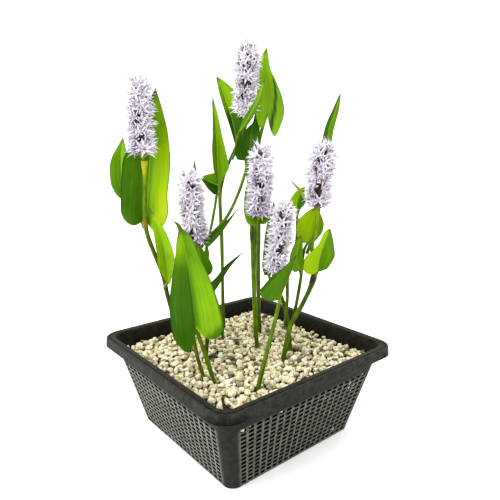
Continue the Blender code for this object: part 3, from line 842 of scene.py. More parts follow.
flowerStems = {
    "left": {
        "route": [(-64, 12, onGravel), (-74, 2, 118), (-79.5, -10, 151), (-82.5, -20, 180), (-88, -34, 207),
                  (-91, -47, 229), (-91, -50, 247), (-89, -53, 273), (-88, -55, 295)],
        "tones": [(0, 0.28), (0.2, 0.34), (0.5, 0.36), (0.62, 0.5), (0.72, 0.5), (0.85, 0.5), (0.92, 0.56),
                  (1, 0.8)],
        "swellings": [(0.715, 0.02, 0.8, 0.4, 0.5), (1.0, 0.045, 1.2, 0.8, 0.14)]},
    "left_inner": {
        "route": [(-41, -9, onGravel), (-39, -12, 110), (-40, -20, 152), (-42, -28, 186), (-45, -33, 212)],
        "tones": [(0, 0.28), (0.3, 0.36), (0.7, 0.46), (1, 0.46)], "swellings": [(0.8, 0.03, 0.8, 0.3, 0)]},
    "tall": {
        "route": [(14, 13, onGravel), (12, 12, 130), (10, 10, 187), (9, 14, 231), (6, 20, 268), (3, 23, 298),
                  (1, 20, 318), (1.5, 12, 332)],
        "tones": [(0, 0.36), (0.2, 0.52), (0.5, 0.58), (0.8, 0.54), (1, 0.4)],
        "swellings": [(0.45, 0.02, 0.6, 0.36, 0)]},
    "middle": {
        "route": [(18, 60, onGravel), (16.6, 42, 131), (16, 20, 185), (16, -2, 215), (15.7, -12, 234)],
        "tones": [(0, 0.36), (0.3, 0.5), (1, 0.58)]},
    "low": {
        "route": [(51, 8, onGravel), (47, 9, 124), (41, 0, 147), (34, -14, 164), (30, -20.5, 176)],
        "tones": [(0, 0.34), (0.3, 0.42), (1, 0.48)]},
    "right": {
        "route": [(42.7, -17, onGravel), (45.9, -15, 105), (50, -13, 122), (59.5, -11, 139), (66, -10, 152),
                  (71, -9, 164), (74.5, -7, 177), (73.9, -5, 188), (71.7, -4, 201), (72.8, -3, 211),
                  (76, -2, 225), (76.4, -2, 244)],
        "radii": (2.8, 1.8), "tones": [(0, 0.36), (0.25, 0.5), (0.5, 0.4), (0.7, 0.62), (1, 0.72)],
        "swellings": [(0.55, 0.05, 1.2, 0.24, 0)]},
}

for stemName, look in flowerStems.items():
    buildTube("stem_of_spike_" + stemName, layout(look["route"]), look.get("radii", (2.5, 2.0)),
              ("flower_stem_" + stemName,), look["tones"], look.get("swellings", ()), footed=True)
print("flower stems")


# Leaf blades

blade = {
    "rows": 46, "columns": (0.0, 0.025, 0.06, 0.12, 0.21, 0.33, 0.46, 0.6, 0.74, 0.86, 0.95, 1.0),
    "thickness": (0.6, 0.28),  # at the midrib and at the margin
    "ribWidth": 1.1, "ribHeight": 0.9, "foldEase": 1.8, "camber": 0.035,
    "waveHeight": 0.55, "wavePitch": 27.0, "widestShare": 0.25, "fullness": 0.9,
    "lobeReach": 0.42, "lobeTurn": 0.83, "rounding": 0.16, "roundedShare": 0.09,
    "curlWidth": 1.8, "least": 0.12, "paleRib": 0.55,
    "listedRows": (0.0, 0.11, 0.24, 0.42, 0.62, 0.82, 1.0),
    "ramp": [(0.0, "#061400"), (0.18, "#103300"), (0.36, "#2f5a00"), (0.5, "#446e00"), (0.64, "#5f8a00"),
             (0.76, "#709e00"), (0.9, "#8ab200"), (1.0, "#a3b404")],
    "marginColor": "#1d2c06", "ribColor": "#8fae2c", "tipColor": "#3a3f14", "roughness": 0.4, "ior": 1.42,
    "specular": 0.1,
    # across, along and deep in millimetres, detail and strength, of the veins and then of the blotches
    "layers": [((1.7, 70, 1), 3.0, 0.3), ((14, 28, 1), 3.0, 0.26)],  # real veins stand about 1 mm apart
}


def leafSkin():
    # A thick smooth leaf with a waxy skin: saturated green, close arching veins, soft gloss
    finish, add, skin = newFinish("waxy_leaf_skin", blade["roughness"], blade["ior"], blade["specular"])
    edge, rib, tip = (add("Attribute", attribute_name=label).outputs["Fac"]
                      for label in ("edge", "rib", "tip"))
    color, (veins, blotches) = mottledTone(add, blade["layers"], blade["ramp"])
    margin = add("MapRange", {"Value": edge, "From Min": 0.93, "From Max": 1.0, "To Min": 0.0, "To Max": 0.8})
    # Each of these takes the place of the one before it at the shader, so that the last stays
    for share, shade in ((rib, "ribColor"), (margin, "marginColor"), (tip, "tipColor")):
        color = add("Mix", {"Factor": share, "A": color, "B": toLinear(blade[shade])}, to=skin["Base Color"],
                    data_type="RGBA")
    add("Bump", {"Strength": 0.35, "Distance": 0.4 * mm, "Height": veins}, to=skin["Normal"])
    plain = blade["roughness"]
    add("MapRange", {"Value": blotches, "To Min": plain - 0.08, "To Max": plain + 0.1}, to=skin["Roughness"])
    return finish


def bladeWidth(share, base, taper):
    rise = base + (1 - base) * easeStep(0.0, blade["widestShare"], share)
    return rise * max(0.0, 1 - min(share, 1.0) ** taper) ** blade["fullness"]


def halfWidth(width, share, reach, base, taper):
    if isinstance(width, tuple):
        wide = easyCurve(blade["listedRows"], list(width[:-1]) + [0.15], share)
    else:
        wide = width * bladeWidth(share / reach, base, taper)
    rounding = blade["rounding"] * max(0.0, 1 - share / blade["roundedShare"]) ** 2
    return max(wide * (1 - rounding), blade["least"])


def lobeShare(place, lobe):  # how much of a lobe hangs at a place between midrib (0) and margin (1)
    return place if lobe < 0 else math.sin(blade["lobeTurn"] * math.pi * place ** 0.9)


def bladeFrame(route, share, facing):
    along = smoothDirection(route, share)
    normal = (facing - along * facing.dot(along)).normalized()
    return smoothPoint(route, share), along, normal, along.cross(normal)


def halfSection(width, fold, roll):
    # Distances across and forward of the columns of one half, whose angle eases in from the midrib
    out, lift = [0.0], [0.0]
    for before, after in zip(blade["columns"], blade["columns"][1:]):
        middle = (before + after) / 2
        ease = easeStep(0.0, blade["foldEase"], middle * width)
        angle = math.radians(fold * ease + roll * easeStep(0.3, 0.7, middle))
        out.append(out[-1] + (after - before) * width * math.cos(angle))
        lift.append(lift[-1] + (after - before) * width * math.sin(angle))
    return out, lift


def toneAt(look, half, place, share):
    # The tone between this half's two ends, changed inside the strips that the look lists; the halves'
    # lighter and darker tones and most strips are painted light and shade
    low, high = look["tones"][half]
    tone = low + (high - low) * share
    for fromSide, toSide, fromShare, toShare, value, slant, ease in look.get("toneAndLightStrips", ()):
        side = (place if half else -place) - slant * share
        inside = easeStep(fromSide - 0.08, fromSide + 0.04, side)
        inside *= 1 - easeStep(toSide - 0.04, toSide + 0.08, side)
        inside *= easeStep(fromShare - ease, fromShare + ease, share)
        inside *= 1 - easeStep(toShare - ease, toShare + ease, share)
        tone += (value - tone) * inside
    return tone


leafFinish = leafSkin()
bladeJoints = {}


def buildLeaf(name, look):
    # Pairs in look hold the left and the right half, as seen with the blade's face in front and its tip up
    route = layout(look["route"] + look.get("curl", []))
    bladeEnd = (len(look["route"]) - 1) / (len(route) - 1)  # a curled tip goes on past it
    facing = Vector(look["facing"]).normalized()
    folds, lobes, roll = look.get("folds", (20, 20)), look.get("lobes", (0, 0)), look.get("roll", (0, 0))
    reach, base, taper = look.get("reach", (1, 1)), look.get("base", 0.8), look.get("taper", 2.0)
    phase = random.Random(name).uniform(0, 6.28)
    columns, rows = blade["columns"], blade["rows"]
    wide = 2 * len(columns) - 1
    grid = np.zeros((rows, wide, 3))
    ribLift, tones, edges, ribs, tips, plan, lengths = (np.zeros((rows, wide)) for _ in range(7))
    widest = max(halfWidth(width, step / 20, reach[half], base, taper)
                 for half, width in enumerate(look["widths"]) for step in range(21))
    length, previous = 0.0, route[0]
    for row in range(rows):
        even = row / (rows - 1)
        share = 0.55 * even + 0.45 * (0.5 - 0.5 * math.cos(math.pi * even))
        centre, along, normal, right = bladeFrame(route, share, facing)
        length += (centre - previous).length
        previous = centre
        hang = max(0.0, 1 - share / blade["lobeReach"]) ** 2
        for half, sign in ((0, -1), (1, 1)):
            width = halfWidth(look["widths"][half], min(share / bladeEnd, 1.0), reach[half], base, taper)
            if "curl" in look and share > 0.7 * bladeEnd:
                left = 1 - max(0.0, share - bladeEnd) / (1 - bladeEnd)
                width = max(width, blade["curlWidth"] * left + blade["least"])
            out, lift = halfSection(width, folds[half], roll[half])
            wave = math.sin(length * 6.28 / blade["wavePitch"] + phase + half * 2)
            wave *= blade["waveHeight"] * look.get("wave", 1.0) * min(1.0, width / 8)
            for at, place in enumerate(columns):
                column = len(columns) - 1 + sign * at
                camber = blade["camber"] * width * math.sin(math.pi * place)
                hung = lobes[half] * hang * lobeShare(place, lobes[half])
                forward = lift[at] + camber + wave * place ** 3
                grid[row, column] = (centre + right * sign * out[at] + normal * forward - along * hung)[:]
                onRib = math.exp(-(place * width / blade["ribWidth"]) ** 2)
                ribLift[row, column] = onRib * (1 - 0.75 * share)
                tones[row, column] = toneAt(look, half, place, share)
                edges[row, column] = place
                dry = easeStep(bladeEnd - 0.15, bladeEnd - 0.03, share)
                tips[row, column] = look.get("dryTip", 0.8) * dry
                ribs[row, column] = look.get("rib", 0.5) * math.exp(-(place * width / blade["paleRib"]) ** 2)
                plan[row, column] = sign * place * widest + phase * 40
                lengths[row, column] = length
    normals = np.cross(np.gradient(grid, axis=0), np.gradient(grid, axis=1))
    normals /= np.maximum(np.linalg.norm(normals, axis=2, keepdims=True), 1e-9)
    if (normals @ np.array(facing)).mean() < 0:
        normals = -normals
    thick = blade["thickness"][0] + (blade["thickness"][1] - blade["thickness"][0]) * edges
    front = grid + normals * (thick / 2 - 0.12 * ribLift)[:, :, None]
    back = grid - normals * (thick / 2 + blade["ribHeight"] * ribLift)[:, :, None]
    under = rows * wide
    faces = []
    for row in range(rows - 1):
        for column in range(wide - 1):
            at = row * wide + column
            quad = (at, at + 1, at + 1 + wide, at + wide)
            faces.append(quad)
            faces.append(tuple(under + corner for corner in reversed(quad)))
    rim = list(range(wide)) + [row * wide + wide - 1 for row in range(1, rows)]
    rim += [(rows - 1) * wide + column for column in range(wide - 2, -1, -1)]
    rim += [row * wide for row in range(rows - 2, 0, -1)]
    for first, second in zip(rim, rim[1:] + rim[:1]):
        faces.append((second, first, under + first, under + second))
    bladeJoints[name] = (route[0], bladeFrame(route, 0.0, facing)[2])
    points = np.concatenate([front.reshape(-1, 3), back.reshape(-1, 3)])
    layers = {label: np.tile(values.ravel(), 2)
              for label, values in (("tone", tones), ("edge", edges), ("rib", ribs), ("tip", tips))}
    planned = np.stack([plan.ravel(), lengths.ravel(), np.zeros(under)], axis=1)
    addPiece("blade_" + name, toWorld(points), faces, leafFinish, "leaf", ("leaf_" + name,), crease=70,
             plan=np.tile(planned, (2, 1)), **layers)


# Widths are those at the listed rows, or one at the widest, first of the left half and then of the right.
# A strip holds from and to across (-1 to 1), from and to along (0 to 1), tone, slant and softness of ends.
# The two tones of a half and most strips are painted light and shade: the half that faces the key light
# lighter, the other darker, with painted glow, painted shadow and painted shade in creases
leaves = {
    # left clump
    "left_large": {
        "route": [(-92, -43, 242), (-90, -38, 267), (-87, -34, 300), (-83, -33, 333), (-79, -34, 360)],
        "facing": (0.15, -1, 0.1), "widths": ((24.5, 25, 26, 26, 15, 8, 1), (23, 23, 21, 22, 18, 9.5, 1)),
        "folds": (26, 26), "lobes": (9, 13), "tones": ((0.42, 0.46), (0.56, 0.74)), "rib": 0.3,
        # Painted light: the strips make the key-lit right half glow lime
        "toneAndLightStrips": [(0.2, 1.2, -0.3, 0.66, 0.88, 0, 0.14), (0.62, 1.2, -0.3, 0.26, 0.97, 0, 0.12)],
        "stub": [(-91, -49, 235), (-91.5, -47, 240)]},
    "left_rear": {
        "route": [(-115, -22, 261), (-118, -20, 280), (-118, -18, 299), (-116, -16, 316)],
        "facing": (-0.2, -1, 0),
        "widths": ((8, 10, 12, 11.5, 9, 4.5, 1), (8, 10, 11, 10, 8, 4.5, 1)), "lobes": (3, 3),
        "tones": ((0.5, 0.6), (0.46, 0.62)), "toneAndLightStrips": [(0.1, 0.8, 0.3, 1.0, 0.68, 0, 0.1)]},
    "left_inner": {
        "route": [(-76, -26, 172), (-75, -38, 197), (-75, -50, 216), (-78, -58, 234), (-84, -62, 253)],
        "facing": (0.2, -1, 0), "widths": (10, 10), "folds": (30, 30), "base": 0.3, "taper": 2.4,
        "tones": ((0.8, 0.86), (0.8, 0.9)), "stub": [(-81.5, -17, 164), (-80, -20, 168)]},
    # front clump
    "front_large": {
        "route": [(-43, -76, 142), (-45, -79, 171), (-48, -80, 200), (-51, -80, 222), (-55, -79, 238)],
        "facing": (0.12, -1, 0.05), "curl": [(-61, -77, 244)], "dryTip": 0.85,
        "widths": ((23, 24, 24, 18.5, 11.5, 6.5, 1), (27.5, 27.5, 25, 19.5, 12.5, 8.5, 1)),
        "folds": (26, 26), "lobes": (20, 9), "tones": ((0.38, 0.98), (0.58, 0.54)), "rib": 0.25,
        # Painted light and shade: the lit right lobe glows lime, while the lower left and the curled lower
        # right lobe darken; a small lime strip sits at the base
        "toneAndLightStrips": [(-1.2, 0.0, -0.3, 0.44, 0.4, 0, 0.16), (0.14, 0.9, -0.3, 0.36, 0.73, 0, 0.2),
                   (0.4, 1.2, -0.3, 0.03, 0.5, 0, 0.03), (0.75, 1.2, -0.3, 0.07, 0.42, 0, 0.03),
                   (0.0, 0.14, -0.3, 0.015, 1.0, 0, 0.015)]},
    "front_rear": {
        "route": [(-40, -36, 185), (-41, -42, 200), (-44, -48, 219)],
        "facing": (0.3, -1, 0), "widths": (11, 12), "lobes": (3, 3), "taper": 1.6,
        "tones": ((0.34, 0.4), (0.42, 0.5)), "stub": [(-42, -27, 179), (-41, -31, 182)]},
    "front_folded": {
        "route": [(-37, -22, 208), (-28, -19, 216), (-18, -16, 228), (-5, -12, 246)],
        "facing": (-0.7, -0.2, 0.65), "widths": (9, 9), "folds": (62, 62), "taper": 1.3,
        "tones": ((0.5, 0.44), (0.5, 0.4))},
    "front_narrow": {
        "route": [(-40, -5, 145), (-27, 0, 163), (-15, 5, 181), (0, 10, 197)],
        "facing": (-0.7, -0.3, 0.65), "widths": (10, 10), "folds": (60, 60), "taper": 1.2,
        "tones": ((0.46, 0.3), (0.5, 0.34))},
    "left_middle": {
        "route": [(-46, -28, 207), (-47, -12, 232), (-47, -10, 262), (-48, -12, 295)],
        "facing": (0, -1, 0), "widths": (9, 9), "folds": (15, 15), "base": 0.4, "taper": 1.6,
        "tones": ((0.4, 0.5), (0.4, 0.5)), "stub": [(-44.5, -31, 201), (-45, -30, 204)]},
    # tall clump
    "tall_spear": {
        "route": [(-26, 28, 269), (-27, 26, 293), (-28, 24, 324), (-31, 22, 357)],
        "facing": (0, -1, 0), "widths": ((2, 5, 8.5, 9, 6.5, 3, 1), (1.5, 7, 12.5, 10, 6, 3.5, 1)),
        "folds": (60, 20), "tones": ((0.68, 0.64), (0.7, 0.74)), "rib": 0.6},
    "dark_heart": {
        "route": [(-29, 52, 264), (-36, 51, 267), (-42, 50, 270), (-49, 48, 273)],
        "facing": (0, -1, 0.3), "widths": (13, 18), "folds": (15, 15), "lobes": (2, 2),
        "base": 1.0, "taper": 1.1, "tones": ((0.2, 0.34), (0.56, 0.66))},
    "top_left": {
        "route": [(-7, 26, 308), (-10, 28, 329), (-16, 30, 349), (-22, 31, 367), (-27, 31, 378)],
        "facing": (0.1, -1, 0),
        "widths": ((1.5, 4, 7, 8, 7.5, 4.5, 1), (1.5, 9, 15, 17, 12.5, 5.5, 1)),
        "folds": (55, 12), "tones": ((0.3, 0.5), (0.3, 0.56)),
        # Painted shadow: the strip lightens the upper part, leaving the rest dark as shadow cast by the spike
        "toneAndLightStrips": [(-1.2, 1.2, 0.42, 1.3, 0.76, 0, 0.07)]},
    "top_dark": {
        "route": [(6, 6, 293), (8, 14, 318), (13, 29, 342), (16, 36, 358)],
        "facing": (0, -1, 0.3), "widths": (16, 11), "folds": (12, 12), "lobes": (1, 6),
        "base": 0.9, "taper": 1.6, "reach": (0.5, 1), "tones": ((0.28, 0.36), (0.32, 0.48)), "rib": 0.1},
    "top_narrow": {
        "route": [(-3, 0, 322), (7, -6, 336), (16, -8, 353), (22, -2, 372)],
        "facing": (-0.3, -1, 0.2), "widths": (4.5, 4.5), "folds": (20, 20), "base": 0.3,
        "tones": ((0.5, 0.6), (0.4, 0.5))},
    "top_right": {
        "route": [(25, 19, 341), (26, 29, 363), (24, 35, 387), (25, 37, 407)],
        "facing": (0.1, -1, 0.2),
        "widths": ((14, 14, 13, 12, 10, 6, 1), (18, 18, 15.5, 10.5, 5.5, 3, 1)),
        "folds": (22, 12), "lobes": (19, 27), "roll": (0, 14), "tones": ((0.76, 0.8), (0.68, 0.74)),
        # Painted shade: the strip is a dark line along a crease in the right half
        "rib": 0.1, "toneAndLightStrips": [(0.19, 0.29, -0.3, 0.5, 0.14, 1.15, 0.05)]},
    # middle clump
    "middle": {
        "route": [(16, -7, 231), (13, 3, 248), (11, 6, 265), (12, 7, 283)],
        "facing": (0, -1, 0.1), "widths": (14, 12), "folds": (8, 12), "lobes": (3, 4), "base": 0.9,
        "tones": ((0.6, 0.66), (0.72, 0.6)), "stub": [(16, -1, 215), (16, -5, 223)]},
    "low_rear": {
        "route": [(26, -13, 176), (27, -5, 192), (28, -3, 223), (32, -3, 253)],
        "facing": (0, -1, 0), "widths": (8, 9), "folds": (12, 12), "base": 0.7,
        "tones": ((0.36, 0.46), (0.4, 0.5)), "stub": [(33, -15, 164), (29, -15, 170)]},
    "low_boat": {
        "route": [(35, -55, 164), (40, -55, 178), (46, -54, 192), (51, -52, 207)],
        "facing": (-0.9, 0, 0.38), "widths": (23, 23), "folds": (76, 76), "lobes": (4, 4),
        "base": 1.0, "taper": 1.0, "tones": ((0.47, 0.44), (0.47, 0.44)), "wave": 0.5},
    # right clump
    "right_heart": {
        "route": [(68.5, 6, 207), (73, 11, 217), (76, 14, 228), (78, 17, 244)],
        "facing": (-0.1, -1, 0.2),
        "widths": ((12, 15.5, 17.5, 18.5, 18, 12, 3), (2.5, 7, 9, 11.5, 11, 6.5, 2)),
        "folds": (14, 24), "lobes": (3, 1), "tones": ((0.9, 0.93), (0.7, 0.74))},
    "right_inner": {
        "route": [(58, -8, 181), (55.6, -9, 194), (57.5, -9, 207), (59.5, -8, 217)],
        "facing": (0, -1, 0), "widths": (9, 7), "folds": (14, 14), "lobes": (2, 2),
        "tones": ((0.66, 0.7), (0.62, 0.66)), "stub": [(61, -2.6, 174), (60, -5, 178)]},
    "right_low": {
        "route": [(77, -12, 180), (79, -12, 196), (84, -11, 212), (89, -10, 225)],
        "facing": (-0.1, -1, 0.1),
        "widths": ((15.5, 16.5, 16, 9, 5, 4.5, 1), (2.5, 10.5, 13.5, 15.5, 11.5, 6, 1)),
        "folds": (18, 28), "lobes": (4, 0), "tones": ((0.9, 0.88), (0.52, 0.56)),
        "stub": [(74.4, -7.5, 172), (75.5, -10, 176)]},
    "right_spear": {
        "route": [(66, 13, 251), (58, 7, 262), (49, 2, 273)],
        "facing": (0.5, -0.6, 0.6), "widths": (4.6, 4.6), "base": 0.5, "taper": 1.4,
        "tones": ((0.96, 0.9), (0.96, 0.9)), "stub": [(57, 13, 236), (60, 22, 241), (65, 19, 248)]},
    "right_small": {
        "route": [(57, 12, 237), (57, 15, 246), (60, 18, 256), (66, 20, 265)],
        "facing": (-0.2, -1, 0.1), "widths": (10, 9), "lobes": (-2, -7), "tones": ((0.9, 0.92), (0.44, 0.5))},
    "right_tall": {
        "route": [(82, 17, 261), (85, 19, 293), (89, 18, 323), (95, 15, 343), (99, 12, 360)],
        "facing": (0, -1, 0), "widths": (6, 6), "folds": (25, 25), "base": 0.4, "taper": 2.6,
        "tones": ((0.4, 0.36), (0.62, 0.5))},
}

leafStalks = {
    "left_rear": {"route": [(-94, -42, 232), (-103, -26, 246)]},
    "front_large": {"route": [(-30, -67, onGravel), (-36, -67, 112), (-41, -70, 130)], "radii": (2.3, 1.9),
                    "tones": [(0, 0.38), (0.5, 0.5), (1, 0.58)]},
    "front_folded": {"route": [(-38, -23, 190), (-36, -20, 200)]},
    "front_narrow": {"route": [(-34, 50, onGravel), (-42, 30, 114)]},
    "tall_spear": {"route": [(-26, 42, onGravel), (-25, 40, 144), (-25, 36, 193), (-26, 32, 239)]},
    "dark_heart": {"route": [(-40, 60, onGravel), (-43, 56, 140), (-45, 54, 183), (-38, 54, 215),
                             (-33, 55, 240)]},
    "top_left": {"route": [(-26, 75, onGravel), (-26, 60, 145), (-25, 48, 202), (-26, 41, 249),
                           (-22, 37, 273), (-14, 32, 293)]},
    "top_dark": {"route": [(-40, -60, onGravel), (-48, -52, 116), (-53, -40, 159), (-49, -24, 193),
                           (-38, -10, 213), (-18, -2, 234), (-4, -1, 262)]},
    "top_narrow": {"route": [(-11, 24, 294), (-8, 12, 302), (-6, 5, 314)], "radii": (1.3, 1.1)},
    "top_right": {"route": [(19, 75, onGravel), (16, 60, 138), (14, 46, 202), (14, 40, 260), (17, 29, 310)],
                  "radii": (1.9, 1.8), "tones": [(0, 0.3), (0.6, 0.46), (0.85, 0.62), (1, 0.8)]},
    "low_boat": {"route": [(15, -81, onGravel), (20, -76, 109), (27, -66, 132), (32, -58, 149)],
                 "radii": (2.3, 1.8)},
    "right_heart": {"route": [(54, -3, 128), (58, -3, 152), (60.7, -3, 171), (61.6, -2, 185),
                              (64.3, 2, 200)]},
    "right_small": {"route": [(44, -9, 118), (46.5, -3, 147), (47, 1, 168), (52, 8, 186), (57, 12, 210)]},
    "right_tall": {"route": [(68, 10, 194), (76, 20, 212), (81, 23, 235)]},
}

for leafName, look in leaves.items():
    buildLeaf(leafName, look)
print("leaf blades")

plainTones = [(0, 0.44), (0.5, 0.5), (1, 0.54)]
footTones = [(0, 0.34), (0.2, 0.42), (0.6, 0.5), (1, 0.56)]
for leafName, look in leafStalks.items():
    joint, normal = bladeJoints[leafName]
    standing = look["route"][0][2] is onGravel
    buildTube("stalk_of_" + leafName, layout(look["route"]) + [joint - normal * stalkGap],
              look.get("radii", (1.9, 1.5)), ("leaf_" + leafName + "_stalk",),
              look.get("tones", footTones if standing else plainTones), footed=standing)
for leafName, look in leaves.items():
    if "stub" in look:  # a short stalk that springs from a flower stem
        joint, normal = bladeJoints[leafName]
        buildTube("short_stalk_of_" + leafName, layout(look["stub"]) + [joint - normal * stalkGap],
                  (1.9, 1.4), (), plainTones)
print("leaf stalks")

buildSoil()
buildGravelBed()
buildGravel(stemFeet)
print("soil and gravel")


# Flower spikes

floret = {
    "turn": 137.5,  # degrees from one floret to the next up the spike
    "lean": 12, "footLean": 14, "topLean": 50, "leanSpread": 14,  # degrees up from straight out
    "tepals": 6, "tepalRows": 6, "tepalWidth": 2.1, "tepalThickness": 0.32,
    "tubeLength": 4.4, "tubeRadius": 0.6, "reach": 6.8, "forward": 6.4,
    "tubeRings": ((0.0, 0.9, -0.6), (0.5, 1.0, -0.3), (1.0, 1.25, 0.2)),  # height, radius and shade
    # least and most: shift round the floret, openness, length, backward curl and sideways bend of a tepal
    "tepalShift": (-0.16, 0.16), "tepalOpen": (0.82, 1.12), "tepalLong": (0.86, 1.1), "tepalCurl": (0.2, 1.5),
    "tepalBend": (-0.7, 0.7), "sizes": (0.82, 1.1),
    "plainRadius": 13.2,  # of a spike whose florets have the sizes above
    "openShares": (0.62, 0.6),  # open among all, half open among the rest
    # The core's near-black is partly painted shade in the gaps between the florets
    "coreRadius": 4.8, "coreDarkAndShade": "#251c28", "calyxColor": "#564d35", "footColor": "#6c7d10",
    "deep": "#877ca0", "mid": "#cec7d2", "pale": "#e8e5e8",
    "spikeFoot": 0.5, "spikeFootRise": 4.5, "shoulder": 0.86, "topLoss": 0.1,
    "coreEnd": 0.93, "fromShare": 0.05, "toShare": 0.93,  # of the spike's route
}


def floretForm(seed, openness):
    # One star floret along +z: a short tube and six pointed tepals; shade 0 is its throat, 1 a tip
    chance = random.Random(seed)
    points, shades = [], []
    for height, radius, shade in floret["tubeRings"]:
        for side in range(6):
            angle, wide = 2 * math.pi * side / 6, floret["tubeRadius"] * radius
            points.append((wide * math.cos(angle), wide * math.sin(angle), height * floret["tubeLength"]))
            shades.append(shade)
    faces = ringFaces(len(floret["tubeRings"]), 6)
    for index in range(floret["tepals"]):
        angle = 2 * math.pi * (index + chance.uniform(*floret["tepalShift"])) / floret["tepals"]
        outward = Vector((math.cos(angle), math.sin(angle), 0))
        beside = Vector((-math.sin(angle), math.cos(angle), 0))
        spread = openness * chance.uniform(*floret["tepalOpen"])
        length, curl, lean = (chance.uniform(*floret[label])
                              for label in ("tepalLong", "tepalCurl", "tepalBend"))
        faces += ringFaces(floret["tepalRows"], 4, len(points))
        for row in range(floret["tepalRows"]):
            t = row / (floret["tepalRows"] - 1)
            reach = 0.5 + floret["reach"] * length * spread * t
            rise = floret["forward"] * t * (1.35 - spread * 0.35) - curl * t * t
            rise = floret["tubeLength"] - 0.4 + rise * length
            full = 0.45 + 0.55 * math.sin(math.pi * min(1.0, t * 1.25) ** 0.8)
            width = floret["tepalWidth"] / 2 * full * (1 - t ** 3 * 0.93)
            thick = Vector((0, 0, floret["tepalThickness"] / 2 * (1 - 0.6 * t)))
            middle = outward * reach + Vector((0, 0, rise)) + beside * lean * t * t
            cup = Vector((0, 0, width * 0.35)) - outward * width * 0.25
            left, right = middle - beside * width + cup, middle + beside * width + cup
            points += [point[:] for point in (left, middle - thick, right, middle + thick)]
            shades += [0.3 + 0.7 * t] * 4
    return np.array(points), np.array(shades), faces


def mixColors(shades, low, mid, high):
    low, mid, high = (np.array(toLinear(code)) for code in (low, mid, high))
    first = np.clip(shades / 0.45, 0, 1)[:, None]
    second = np.clip((shades - 0.45) / 0.55, 0, 1)[:, None]
    return (low + (mid - low) * first) * (1 - second) + high * second


def swellAt(share):
    top = max(0.0, share - floret["shoulder"]) / (1 - floret["shoulder"])
    return min(1.0, floret["spikeFoot"] + floret["spikeFootRise"] * share) * (1 - floret["topLoss"] * top)


def spikeCore(route):
    # A knobbly axis of calyces and closed buds, dark between the florets; its near-black is partly painted
    # shade
    rows, sides = 60, 20
    points, colors = [], []
    dark, brown, foot = (np.array(toLinear(floret[label]))
                         for label in ("coreDarkAndShade", "calyxColor", "footColor"))
    shares = [floret["coreEnd"] * row / (rows - 1) for row in range(rows)]
    for share, centre, _, across, beside in walkRoute(route, shares):
        for side in range(sides):
            angle = 2 * math.pi * side / sides
            knob = noise.noise(Vector((math.cos(angle) * 2.2, math.sin(angle) * 2.2, share * 13 + centre.x)))
            radius = floret["coreRadius"] * swellAt(share) * (0.82 + 0.5 * knob)
            radius *= 0.42 + 0.58 * easeStep(0.0, 0.13, share)
            outward = across * math.cos(angle) + beside * math.sin(angle)
            points.append((centre + outward * max(radius, 0.4))[:])
            color = dark + (brown - dark) * max(0.0, min(1.0, 0.35 + knob * 1.2))
            colors.append(foot + (color - foot) * easeStep(0.05, 0.13, share))
    return np.array(points), np.array(colors), ringFaces(rows, sides)


def buildSpike(name, look, finish, forms):
    route = layout(look["route"])
    chance = random.Random(name)
    core, coreColors, faces = spikeCore(route)
    points, colors = [core], [coreColors]
    start = len(core)
    low, high, count = floret["fromShare"], floret["toShare"], look["count"]
    shares = [low + (high - low) * (index + 0.5) / count for index in range(count)]
    for index, (share, centre, along, across, beside) in enumerate(walkRoute(route, shares)):
        angle = math.radians(floret["turn"] * index) + chance.uniform(-0.2, 0.2)
        outward = across * math.cos(angle) + beside * math.sin(angle)
        sideways, toViewer = outward.x, -outward.y  # of the photo's side of the spike
        if any(abs(sideways - place) < wide and abs(share - up) < tall and toViewer > -0.2
               for place, wide, up, tall in look.get("bare", ())):
            continue
        swell = swellAt(share)
        upward = floret["footLean"] * (1 - easeStep(0.05, 0.2, share))
        upward += floret["topLean"] * easeStep(0.76, 0.95, share)
        spread = chance.uniform(-floret["leanSpread"], floret["leanSpread"])
        tilt = math.radians(floret["lean"] + upward + spread)
        axis = (outward * math.cos(tilt) + along * math.sin(tilt)).normalized()
        size = look["radius"] / floret["plainRadius"] * (0.35 + 0.65 * swell)
        size *= chance.uniform(*floret["sizes"])
        openShare, halfShare = floret["openShares"]
        kind = 0 if chance.random() < openShare else (1 if chance.random() < halfShare else 2)
        form, shades, corners = forms[kind][chance.randrange(len(forms[kind]))]
        spin = chance.uniform(0, 2 * math.pi)
        first = (along - axis * along.dot(axis)).normalized()
        right = first * math.cos(spin) + axis.cross(first) * math.sin(spin)
        turn = np.array([right[:], axis.cross(right)[:], axis[:]])
        points.append(form * size @ turn + np.array((centre + outward * 1.6 * swell)[:]))
        pale = chance.uniform(-0.14, 0.14) + 0.2 * easeStep(0.55, 0.95, share)
        for place, wide, up, tall, amount in look.get("violet", ()):
            if abs(sideways - place) < wide and abs(share - up) < tall:
                pale -= amount
        colors.append(np.clip(mixColors(shades + pale, floret["deep"], floret["mid"], floret["pale"]), 0, 1))
        faces.extend(tuple(corner + start for corner in face) for face in corners)
        start += len(form)
    addPiece("florets_of_spike_" + name, toWorld(np.concatenate(points)), faces, finish, "florets",
             ("flower_spike_" + name,), crease=75, tint=np.concatenate(colors))


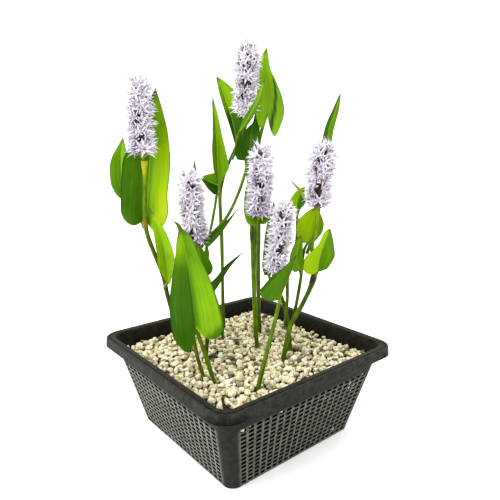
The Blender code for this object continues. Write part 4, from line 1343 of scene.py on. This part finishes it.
# A bare or violet zone holds middle and half width from left (-1) to right (1), then middle and half height
# from foot (0) to top (1); a violet one also how much darker it is
spikes = {
    "left": {"route": [(-89.0, -55, 295), (-89.9, -56, 331), (-89.2, -56, 365)], "radius": 15.5, "count": 124,
             "bare": [(-0.1, 0.12, 0.68, 0.025), (-0.05, 0.12, 0.54, 0.025), (0.0, 0.22, 0.39, 0.03),
                      (0.1, 0.2, 0.23, 0.05)],
             "violet": [(-0.8, 0.5, 0.2, 0.2, 0.35)]},
    "left_inner": {"route": [(-45.1, -33, 209), (-48.7, -36, 248), (-49.3, -38, 284)], "radius": 16.0,
                   "count": 124,
                   "bare": [(-0.1, 0.14, 0.64, 0.03), (-0.05, 0.14, 0.5, 0.03), (0.0, 0.2, 0.2, 0.05)],
                   "violet": [(0.0, 1.0, 0.12, 0.12, 0.25)]},
    "tall": {"route": [(1.5, 11, 332), (3.7, 9, 371), (6.3, 7, 406)], "radius": 15.5, "count": 128,
             "bare": [(0.0, 0.12, 0.7, 0.02), (0.35, 0.1, 0.46, 0.02), (-0.05, 0.12, 0.2, 0.03)]},
    "middle": {"route": [(15.7, -12, 232), (17.3, -15, 272), (19.5, -18, 306)], "radius": 16.0, "count": 120,
               "bare": [(-0.05, 0.2, 0.72, 0.04), (0.15, 0.16, 0.5, 0.04), (-0.25, 0.16, 0.2, 0.04)],
               "violet": [(0.0, 1.0, 0.12, 0.12, 0.2), (-0.15, 0.35, 0.84, 0.06, 0.3),
                          (-0.35, 0.25, 0.53, 0.05, 0.35)]},
    "low": {"route": [(30, -22, 175), (36.5, -24, 216), (41.5, -26, 251)], "radius": 16.0, "count": 104,
            "bare": [(-0.15, 0.2, 0.58, 0.05), (0.2, 0.2, 0.68, 0.04), (0.2, 0.32, 0.38, 0.085),
                     (0.15, 0.24, 0.15, 0.04)]},
    "right": {"route": [(76.1, -2, 240), (77.5, -4, 276), (81.8, -6, 308)], "radius": 17.5, "count": 100,
              "bare": [(-0.4, 0.24, 0.57, 0.06), (0.15, 0.2, 0.42, 0.04), (0.05, 0.34, 0.29, 0.085),
                       (-0.1, 0.24, 0.1, 0.03)]},
}

# Thin petals, matt with a faint sheen: pale lavender, violet in the throat, finely veined
petalFinish, petalSkin = mottledTint("thin_lavender_petal", roughness=0.55, ior=1.4, specular=0.25,
                                     grain=(700.0, 3.0, 0.5), shades=(0.3, 0.7, 0.9, 1.05),
                                     bump=(0.2, 0.3 * mm))
petalSkin["Sheen Weight"].default_value = 0.15
# Seed, number and openness of the open, half open and closing florets
floretForms = [[floretForm(seed + k, openness) for k in range(count)]
               for seed, count, openness in ((10, 5, 1.0), (30, 4, 0.6), (50, 3, 0.2))]
for spikeName, look in spikes.items():
    buildSpike(spikeName, look, petalFinish, floretForms)
print("flower spikes")
